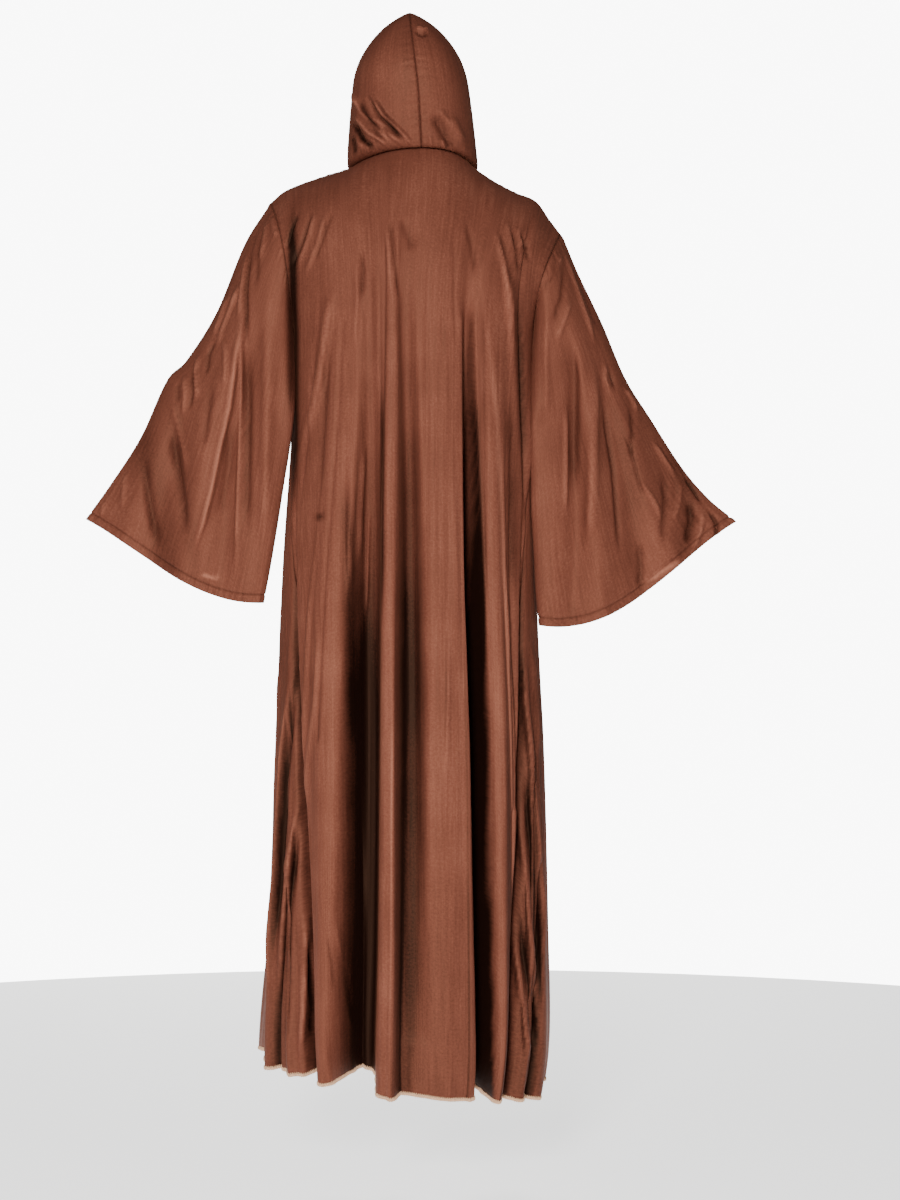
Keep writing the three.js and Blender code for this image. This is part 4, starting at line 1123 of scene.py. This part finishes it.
def piece(name, mesh, material):
    mesh.materials.append(material)
    made = bpy.data.objects.new(name, mesh)
    bpy.context.scene.collection.objects.link(made)
    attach(made, "root")
    return made


def cloth_piece(node, grid, tone, closed=False, hem=None):
    """One panel. Its hem is the axis and the end (True for the last line) that are turned in."""
    tone = tone + toned(node, grid, closed)
    if hem:
        axis, end = hem
        grid = turned(grid, axis, end)
        pad = [(0, 0), (0, 0)]
        pad[axis] = (0, len(HEM_TURN)) if end else (len(HEM_TURN), 0)
        tone = np.pad(tone, pad, "edge")
    made = piece(node + "_cloth", grid_mesh(node, grid, closed, tone), tricot)
    wall = made.modifiers.new("wall", "SOLIDIFY")
    wall.thickness = CLOTH * MM
    wall.offset = 0
    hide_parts(node)
    return made


def overlock(node, panel):
    """The overlocked raw edge of a panel's hem: tan thread wrapped round it in slanted loops."""
    name = node + "_overlock"
    edge, up_the_cloth = panel[0], panel[3] - panel[0]
    per_loop, around = 6, 8
    length = walked(edge[None], 1)[0]
    s = np.linspace(0, length[-1], int(length[-1] / THREAD_PITCH * per_loop))
    path = sampled(edge, length, s)
    up = unit(sampled(up_the_cloth, length, s))
    out = unit(np.cross(np.gradient(path, axis=0), up))
    angle = np.linspace(0, 2 * np.pi, around, endpoint=False)
    loops = 1 + 0.28 * np.sin(2 * np.pi * s[:, None] / THREAD_PITCH + angle)
    grid = (
        path[:, None]
        + up[:, None] * ((THREAD_RISE + THREAD_TALL * np.cos(angle)) * loops)[..., None]
        + out[:, None] * ((THREAD_DEEP * np.sin(angle)) * loops)[..., None]
    )
    return piece(name, grid_mesh(name, np.swapaxes(grid, 0, 1)[::-1], False), tan_thread)


tricot = satin_tricot()
tan_thread = tan_overlock_thread()

# Panels
back = back_panel()
fronts = {1: front_panel(1), -1: front_panel(-1)}
underarm = BODY_ROWS
sleeves = {
    1: sleeve_panel(1, back[underarm:, 0], fronts[1][underarm:, 0]),
    -1: sleeve_panel(-1, back[underarm:, -1], fronts[-1][underarm:, 0]),
}
hoods = {1: hood_panel(1), -1: hood_panel(-1)}

left_corner = SHOULDER_COLUMNS["left"] * BACK_FINE
right_corner = left_corner + 2 * NECK_BACK_COLUMNS * BACK_FINE
back = eased(back, [left_corner, right_corner], BACK_EASE)
seams = {"start": SIDE_GATHERS, "end": SIDE_GATHERS, "top": TOP_GATHERS}
back, tone = sewn("back", back, seams, frilled=True)
back_cloth = cloth_piece("back", back, tone)
front_cloths, sleeve_cloths, hood_cloths = {}, {}, {}
for side in (1, -1):
    name = side_name(side)
    first, last = ("end", "start") if side > 0 else ("start", "end")
    grid = eased(fronts[side], [SHOULDER_COLUMNS[name] * FRONT_FINE], FRONT_EASE)
    grid = grid[:, ::-1] if side > 0 else grid
    seams = {first: SIDE_GATHERS, "top": TOP_GATHERS}
    grid, tone = sewn("front_" + name, grid, seams, stitched=last, frilled=True)
    fronts[side] = grid
    front_cloths[side] = cloth_piece("front_" + name, grid, tone, hem=(1, side < 0))
    grid, tone = sewn("sleeve_" + name, sleeves[side], {"bottom": ARMHOLE_GATHERS}, True, "top")
    sleeve_cloths[side] = cloth_piece("sleeve_" + name, grid, tone, True, hem=(0, True))
    seams = {"bottom": HOOD_GATHERS["neck"], "top": HOOD_GATHERS["ridge"], first: HOOD_GATHERS["back"]}
    grid, tone = sewn("hood_" + name, hoods[side], seams, stitched=last)
    hood_cloths[side] = cloth_piece("hood_" + name, grid, tone, hem=(1, side < 0))

back_edge = overlock("back", back)
front_edges = {side: overlock("front_" + side_name(side), fronts[side]) for side in (1, -1)}

for side in (1, -1):
    name = side_name(side)

# Floor, light and camera, placed in metres. The floor is a little below the hem, as when the robe is worn.
bpy.ops.mesh.primitive_circle_add(vertices=96, radius=2.4, fill_type="NGON", location=(0, 0, -1.594))
floor = bpy.context.object
floor.name = "floor"
floor.data.materials.append(pale_paper())

# The backdrop is seen as pale paper, but lights the cloth less, as in a studio with a distant wall.
world = bpy.data.worlds.new("studio")
world.use_nodes = True
sky = world.node_tree
sky.nodes.clear()
seen = add(sky, "LightPath").outputs["Is Camera Ray"]
strength = add(sky, "MapRange", {"Value": seen, "To Min": AMBIENT, "To Max": BACKDROP})
wall = add(sky, "Background", {"Color": linear("#f6f6f6"), "Strength": strength.outputs["Result"]})
add(sky, "OutputWorld", {"Surface": wall.outputs[0]})
bpy.context.scene.world = world


def lamp(name, place, size, power):
    """A soft lamp that faces the middle of the robe."""
    data = bpy.data.lights.new(name, "AREA")
    data.shape = "RECTANGLE"
    data.size, data.size_y = size
    data.energy = power
    made = bpy.data.objects.new(name, data)
    made.location = place
    made.rotation_euler = (Vector((0, 0, -0.7)) - Vector(place)).to_track_quat("-Z", "Y").to_euler()
    bpy.context.scene.collection.objects.link(made)


lamp("key", (0.5, 4.3, 0.2), (0.7, 1.0), 252)
lamp("left_fill", (2.9, 2.8, 0.2), (0.8, 1.4), 18)
lamp("right_fill", (-2.9, 2.8, 0.2), (0.8, 1.4), 18)
lamp("front", (0.5, -3.9, 0.8), (0.6, 1.1), 130)

# The view of the photograph, from behind
camera = bpy.data.objects.new("camera", bpy.data.cameras.new("camera"))
camera.data.lens = 80.25
camera.data.sensor_width = 36
camera.location = (-0.058, 4.2, -0.683)
camera.rotation_euler = (math.pi / 2, 0, math.pi)
bpy.context.scene.collection.objects.link(camera)
bpy.context.scene.camera = camera
